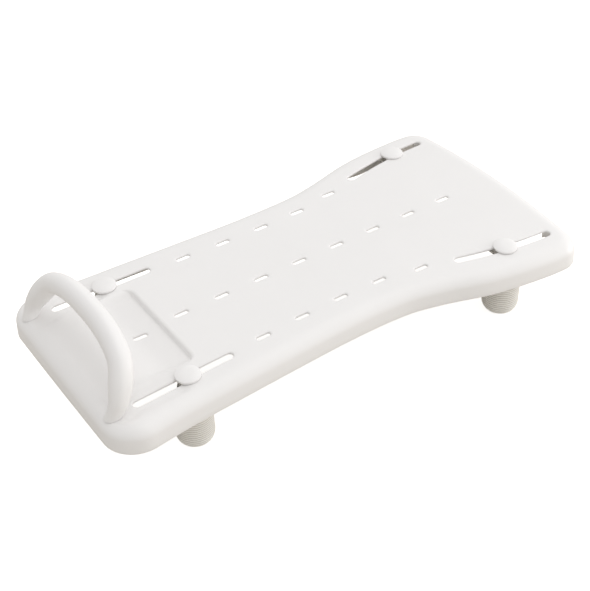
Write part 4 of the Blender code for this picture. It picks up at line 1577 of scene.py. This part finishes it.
@dataclass
class ClampFeet:
    """Four clamp feet: disc on the seat, grip washer and flange below it, ringed rubber sleeve."""

    colours: Palette
    # Depth of the foot's joint below the seat
    axis_drop: float = 55.0
    disc_radius: float = 16.2
    disc_lift: float = 0.6
    disc_thick: float = 5.2
    disc_fall: float = 2.64
    disc_power: float = 3.2
    disc_edge: float = 1.1
    # Width of the rounding under the disc's rim, and how far its middle lies in
    disc_rim: Pair = (0.5, 0.15)
    # Radius and depth of the hollow for the bolt's head
    hollow: Pair = (8.0, 3.9)
    chamfer: float = 0.3
    grip_radius: float = 26.0
    grip_hole: float = 7.5
    grip_top: float = -12.3
    grip_thick: float = 1.6
    grip_width: float = 20.0
    grip_corner: float = 2.0
    bar_height: float = 60.0
    beads: tuple[float, ...] = (24.0, 21.5, 19.0, 16.5, 14.0)
    # Half width of a bead at its foot and at its crest, and its height
    bead_half: Pair = (0.8, 0.4)
    bead_rise: float = 0.3
    # Heights of the rounding round the pad, from the beads' feet, and the step at its hole
    grip_lip: Pair = (-0.05, 0.2)
    hole_step: float = 0.1
    core_gap: float = 0.3
    hub_radius: float = 15.0
    hub_chamfer: float = 0.5
    # Radius and depth of the nut's pocket
    nut_hole: Pair = (7.4, 7.2)
    shoulder_z: float = -32.8
    # Steps out and up round the hub's foot, and in and down round the top of the neck
    hub_foot: tuple[Pair, ...] = ((0.0, 2.0), (0.5, 0.6), (1.8, 0.0))
    neck_top: tuple[Pair, ...] = ((1.2, 0.0), (0.3, 0.4), (0.0, 1.2))
    neck: float = 22.4
    # Radius and lowest height of the stem in the sleeve
    stem: Pair = (20.3, -60.0)
    foot_radius: float = 25.0
    bore: float = 20.7
    side_length: float = 42.0
    fillet: float = 17.0
    ring_pitch: float = 3.3
    ring_rise: float = 1.0
    ring_power: float = 1.6
    ring_steps: int = 10
    # Distance from the sole's middle at which the rings end, and over which they fade
    last_ring: Pair = (2.4, 2.5)
    # Distance below the top in which there is no groove, and the step inside the mouth's edge
    ring_free: float = 0.1
    mouth_step: float = 0.5
    sleeve_top: float = -46.0
    crown: Crown = field(default_factory=Crown)

    def foot_frame(self, foot: str) -> tuple[Matrix, float]:
        """Frame of a foot on its bolt's axis, and the foot's length below the seat in millimetres.

        Args:
            foot: The foot's name.

        Returns:
            Matrix with its origin on the seat and +Z up the bolt, and the length.
        """
        joint = next(j for j in frame["joints"] if j["name"] == f"foot_turn_{foot}")
        pad = next(m for m in frame["record"]["mounts"] if m["name"] == f"foot_pad_{foot}")
        up = -Vector(joint["axis"]).normalized()
        top = Vector(joint["pos_m"]) + up * self.axis_drop * MM
        along = Vector((1.0, 0.0, 0.0))
        along = (along - up * along.dot(up)).normalized()
        matrix = Matrix((along, up.cross(along), up)).transposed().to_4x4()
        matrix.translation = top
        return matrix, (top - Vector(pad["pos_m"])).dot(up) / MM

    def disc(self) -> Object:
        """Turn the clamp disc: domed top, soft rim, hollow under for the bolt's head.

        Returns:
            The disc, on the seat at the height 0.
        """
        radius, lift, edge = self.disc_radius, self.disc_lift, self.disc_edge
        body, top = radius - edge, lift + self.disc_thick
        profile = [(0.0, top)]
        for r in spaced(1.2, body, 1.2):
            profile.append((r, top - self.disc_fall * (r / radius) ** self.disc_power))
        edge_z = profile[-1][1] - edge
        for angle in spaced(math.pi / 3.0, 0.0, math.radians(15.0)):
            profile.append((body + edge * math.cos(angle), edge_z + edge * math.sin(angle)))
        rim, turn = self.disc_rim
        profile += [(radius, lift + rim), (radius - turn, lift + turn), (radius - rim, lift)]
        inner, roof, chamfer = self.hollow[0], lift + self.hollow[1], self.chamfer
        profile += [(inner + chamfer, lift), (inner, lift + chamfer), (inner, roof), (0.0, roof)]
        return Bench.turned("clamp_disc", profile, sides=72)

    def grip(self) -> Object:
        """Turn the rubber grip pad with its beads, and trim it to a bar across the slot.

        Returns:
            The pad, at its height below the seat.
        """
        radius, hole, chamfer = self.grip_radius, self.grip_hole, self.chamfer
        top, under = self.grip_top, self.grip_top - self.grip_thick
        low = top - self.bead_rise
        foot, crest = self.bead_half
        profile = [(radius - chamfer, under), (radius, under + chamfer)]
        profile += [(radius, low + self.grip_lip[0]), (radius - chamfer, low + self.grip_lip[1])]
        for bead in self.beads:
            profile += [(bead + foot, low), (bead + crest, top), (bead - crest, top), (bead - foot, low)]
        profile += [(hole + self.hole_step, low), (hole, low - self.hole_step), (hole, under)]
        profile.append((radius - chamfer, under))
        pad = Bench.turned("grip_washer", profile, sides=96)
        bar = Bench.block((self.grip_width, 3.0 * radius, self.bar_height), height=0.0)
        with Bench.editing(bar, "EDGE"):
            Bench.select_upright_edges(bar)
            bpy.ops.mesh.bevel(offset=self.grip_corner * MM, segments=4)
        Bench.cut(pad, "INTERSECT", bar)
        return pad

    def core(self) -> Object:
        """Turn the foot's moulding: hub under the grip pad, shoulder, and neck down into the sleeve.

        Returns:
            The moulding, at its height below the seat.
        """
        top, low = self.grip_top - self.grip_thick - self.core_gap, self.sleeve_top + self.core_gap
        hub, chamfer, (nut, depth) = self.hub_radius, self.hub_chamfer, self.nut_hole
        profile = [(0.0, top - depth), (nut, top - depth), (nut, top), (hub - chamfer, top), (hub, top - chamfer)]
        profile += [(hub + out, self.shoulder_z + up) for out, up in self.hub_foot]
        profile += [(self.neck - inward, self.shoulder_z - down) for inward, down in self.neck_top]
        profile += [(self.neck, low), (self.stem[0], low), self.stem, (0.0, self.stem[1])]
        return Bench.turned("foot_core", profile, sides=64)

    def envelope(self, s: float) -> tuple[Vector, Vector]:
        """Point and outward direction of the sleeve's plain outside.

        Args:
            s: Distance down the outside from where the side starts, in millimetres.

        Returns:
            Radius and height above the foot's bottom, and the direction out of it.
        """
        side = self.side_length
        if s <= side:
            return Vector((self.foot_radius, self.fillet + side - s)), Vector((1.0, 0.0))
        angle = min(math.pi / 2.0, (s - side) / self.fillet)
        out = Vector((math.cos(angle), -math.sin(angle)))
        return Vector((self.foot_radius - self.fillet, self.fillet)) + out * self.fillet, out

    def groove_depth(self, place: Vector) -> float:
        """How deep a point of the sleeve lies in a groove.

        Args:
            place: The point, in metres.

        Returns:
            0 on a ridge, 1 at the bottom of a groove.
        """
        radius, height = math.hypot(place.x, place.y) / MM, place.z / MM
        if height > self.fillet + self.side_length - self.ring_free:
            return 0.0
        depth = self.foot_radius - radius
        if height < self.fillet:
            middle = self.foot_radius - self.fillet
            depth = self.fillet - math.hypot(max(0.0, radius - middle), height - self.fillet)
        return min(1.0, max(0.0, depth / self.ring_rise))

    def sleeve(self) -> Object:
        """Turn the rubber sleeve with rings down its side and round its lower edge.

        Returns:
            The sleeve, standing on the height 0.
        """
        reach = self.side_length + self.fillet * math.pi / 2.0
        top_z = self.fillet + self.side_length
        profile = [(self.bore, top_z), (self.foot_radius - self.ring_rise - self.mouth_step, top_z)]
        plain, fade_run = self.last_ring
        for s in spaced(0.0, reach, self.ring_pitch / self.ring_steps):
            point, out = self.envelope(s)
            phase = 0.5 - 0.5 * math.cos(2.0 * math.pi * (s + self.ring_pitch * 0.5) / self.ring_pitch)
            fade = smooth_step((reach - plain - s) / fade_run)
            point = point - out * self.ring_rise * (1.0 - phase) ** self.ring_power * fade
            profile.append((point.x, point.y))
        piece = Bench.turned("foot_sleeve", profile + [(0.0, 0.0)], sides=80)
        # Depth in the grooves, which the rubber's painted groove shade reads
        layer = piece.data.attributes.new("groove", "FLOAT", "POINT")
        for i, vert in enumerate(piece.data.vertices):
            layer.data[i].value = self.groove_depth(vert.co)
        return piece

    def side_lean(self, place: Vector) -> Matrix:
        """The lean of a disc towards the board's side.

        Args:
            place: The disc's place, in metres.

        Returns:
            The turn that lays the disc along the seat's crown.
        """
        x, y = place.xy / MM
        slope = (self.crown.height(x, y + 1.0) - self.crown.height(x, y - 1.0)) / 2.0
        return Matrix.Rotation(math.atan(slope), 4, "X")

    def build(self) -> None:
        """Model each piece once, and copy and dress it for each of the four feet."""
        models = (
            (self.disc(), "clamp_disc", "dome", "clamp", "white_plastic", 40.0),
            (self.grip(), "grip_washer", "ring", "grip", "foot_rubber", 40.0),
            (self.core(), "foot_core", "flange", "foot", "foot_plastic", 40.0),
            (self.sleeve(), "foot_sleeve", "rubber", "foot", "foot_rubber", 60.0),
        )
        kept = (("clamp_bolt", "zinc_steel"), ("foot_nut", "zinc_steel"), ("slot_block", "white_plastic"))
        for foot in FEET:
            matrix, length = self.foot_frame(foot)
            places = {
                "clamp_disc": matrix @ self.side_lean(matrix.translation),
                "foot_sleeve": matrix @ Matrix.Translation((0.0, 0.0, -length * MM)),
            }
            for model, node, ending, body, slot, degrees in models:
                made = Bench.copy(model, f"{node}_{foot}_{ending}", places.get(node, matrix))
                self.colours.dress(made, degrees, slot, f"{body}_{foot}", f"{node}_{foot}")
            for node, slot in kept:
                self.colours.coat(frame["nodes"][f"{node}_{foot}"], slot)
                log.info("%s_%s: kept from the CAD model", node, foot)
        for model, *_ in models:
            bpy.data.objects.remove(model, do_unlink=True)


# Studio


@dataclass
class Studio:
    """Pale floor, soft lights and the camera at the photograph's angle."""

    # Place, watts and side of each lamp
    lamps: dict[str, tuple[Triple, float, float]] = field(default_factory=lambda: {
        "top_lamp": ((0.5, -0.3, 2.8), 13.0, 2.0),
        "front_lamp": ((2.3, -1.0, 0.38), 17.5, 0.9),
    })
    target: Triple = (0.0, 0.0, 0.08)
    sky: float = 0.92
    sky_fall: float = 0.38
    floor_size: float = 12.0
    floor_z: float = -0.0004
    floor_colour: Triple = (0.76, 0.72, 0.66)
    floor_glow: float = 0.8
    lens: float = 80.26
    shift: Pair = (-0.0005, 0.0003)
    # Place of the camera, and the directions that lie to the right, down and ahead in its picture
    place: Triple = (-0.730138, -1.166538, 1.159285)
    right: Triple = (0.83030489, -0.5558189, -0.0407327)
    down: Triple = (-0.37579782, -0.50441126, -0.77739648)
    ahead: Triple = (0.41154562, 0.66078335, -0.62769067)

    def floor(self) -> None:
        """Lay the pale floor, white to the camera but with the object's shadow, and open from below."""
        Bench.clear()
        bpy.ops.mesh.primitive_plane_add(size=self.floor_size, location=(0.0, 0.0, self.floor_z))
        plane = bpy.context.object
        plane.name = "studio_floor"
        material = bpy.data.materials.new("studio_floor")
        material.use_nodes = True
        nodes = Nodes(material.node_tree)
        seen = nodes.add("ShaderNodeLightPath").outputs["Is Camera Ray"]
        below = nodes.add("ShaderNodeNewGeometry").outputs["Backfacing"]
        nodes.fill(
            nodes.find("BSDF_PRINCIPLED"), Base_Color=(*self.floor_colour, 1.0), Roughness=0.9,
            Specular_IOR_Level=0.0, Emission_Color=WHITE,
            Emission_Strength=nodes.maths("MULTIPLY", seen, self.floor_glow),
            Alpha=nodes.maths("SUBTRACT", 1.0, below),
        )
        plane.data.materials.append(material)

    def world(self) -> None:
        """Pale sky, darker on the handle's side, and white where the camera, gloss or glass looks at it."""
        world = bpy.data.worlds.new("studio_sky")
        bpy.context.scene.world = world
        world.use_nodes = True
        nodes = Nodes(world.node_tree)
        path = nodes.add("ShaderNodeLightPath").outputs
        seen = nodes.maths("MAXIMUM", path["Is Camera Ray"], path["Is Glossy Ray"])
        seen = nodes.maths("MAXIMUM", seen, path["Is Transmission Ray"])
        towards = nodes.add("ShaderNodeTexCoord").outputs["Generated"]
        along = nodes.add("ShaderNodeSeparateXYZ", Vector=towards).outputs["X"]
        shade = nodes.maths("MINIMUM", nodes.maths("MULTIPLY_ADD", along, self.sky_fall, self.sky), self.sky)
        nodes.fill(nodes.find("BACKGROUND"), Color=WHITE, Strength=nodes.maths("MAXIMUM", shade, seen))

    def lamp(self, name: str, place: Triple, watts: float, size: float) -> None:
        """Hang one square soft lamp, pointed at the target.

        Args:
            name: The lamp's name.
            place: Where it hangs.
            watts: Its power.
            size: Its side in metres.
        """
        light = bpy.data.lights.new(name, "AREA")
        light.energy = watts
        light.size = size
        lamp = bpy.data.objects.new(name, light)
        lamp.location = place
        lamp.rotation_euler = (Vector(self.target) - Vector(place)).to_track_quat("-Z", "Y").to_euler()
        bpy.context.scene.collection.objects.link(lamp)

    def camera(self) -> None:
        """Set the camera where the photograph's was."""
        data = bpy.data.cameras.new("camera")
        data.sensor_fit = "HORIZONTAL"
        data.sensor_width = 36.0
        data.lens = self.lens
        data.shift_x, data.shift_y = self.shift
        data.clip_start = 0.05
        camera = bpy.data.objects.new("camera", data)
        matrix = Matrix((self.right, [-c for c in self.down], [-c for c in self.ahead])).transposed().to_4x4()
        matrix.translation = Vector(self.place)
        camera.matrix_world = matrix
        bpy.context.scene.collection.objects.link(camera)
        bpy.context.scene.camera = camera

    def build(self) -> None:
        """Set up the studio."""
        self.floor()
        self.world()
        self.camera()
        for name, (place, watts, size) in self.lamps.items():
            self.lamp(name, place, watts, size)
        bpy.context.scene.view_settings.view_transform = "Standard"


def main() -> None:
    """Build the studio and every sub-assembly in order."""
    logging.basicConfig(level=logging.INFO, format="%(name)s: %(message)s")
    Studio().build()
    colours = Palette.mix()
    SeatBoard(colours).build()
    ArchHandle(colours).build()
    ClampFeet(colours).build()


if __name__ == "__main__":
    main()
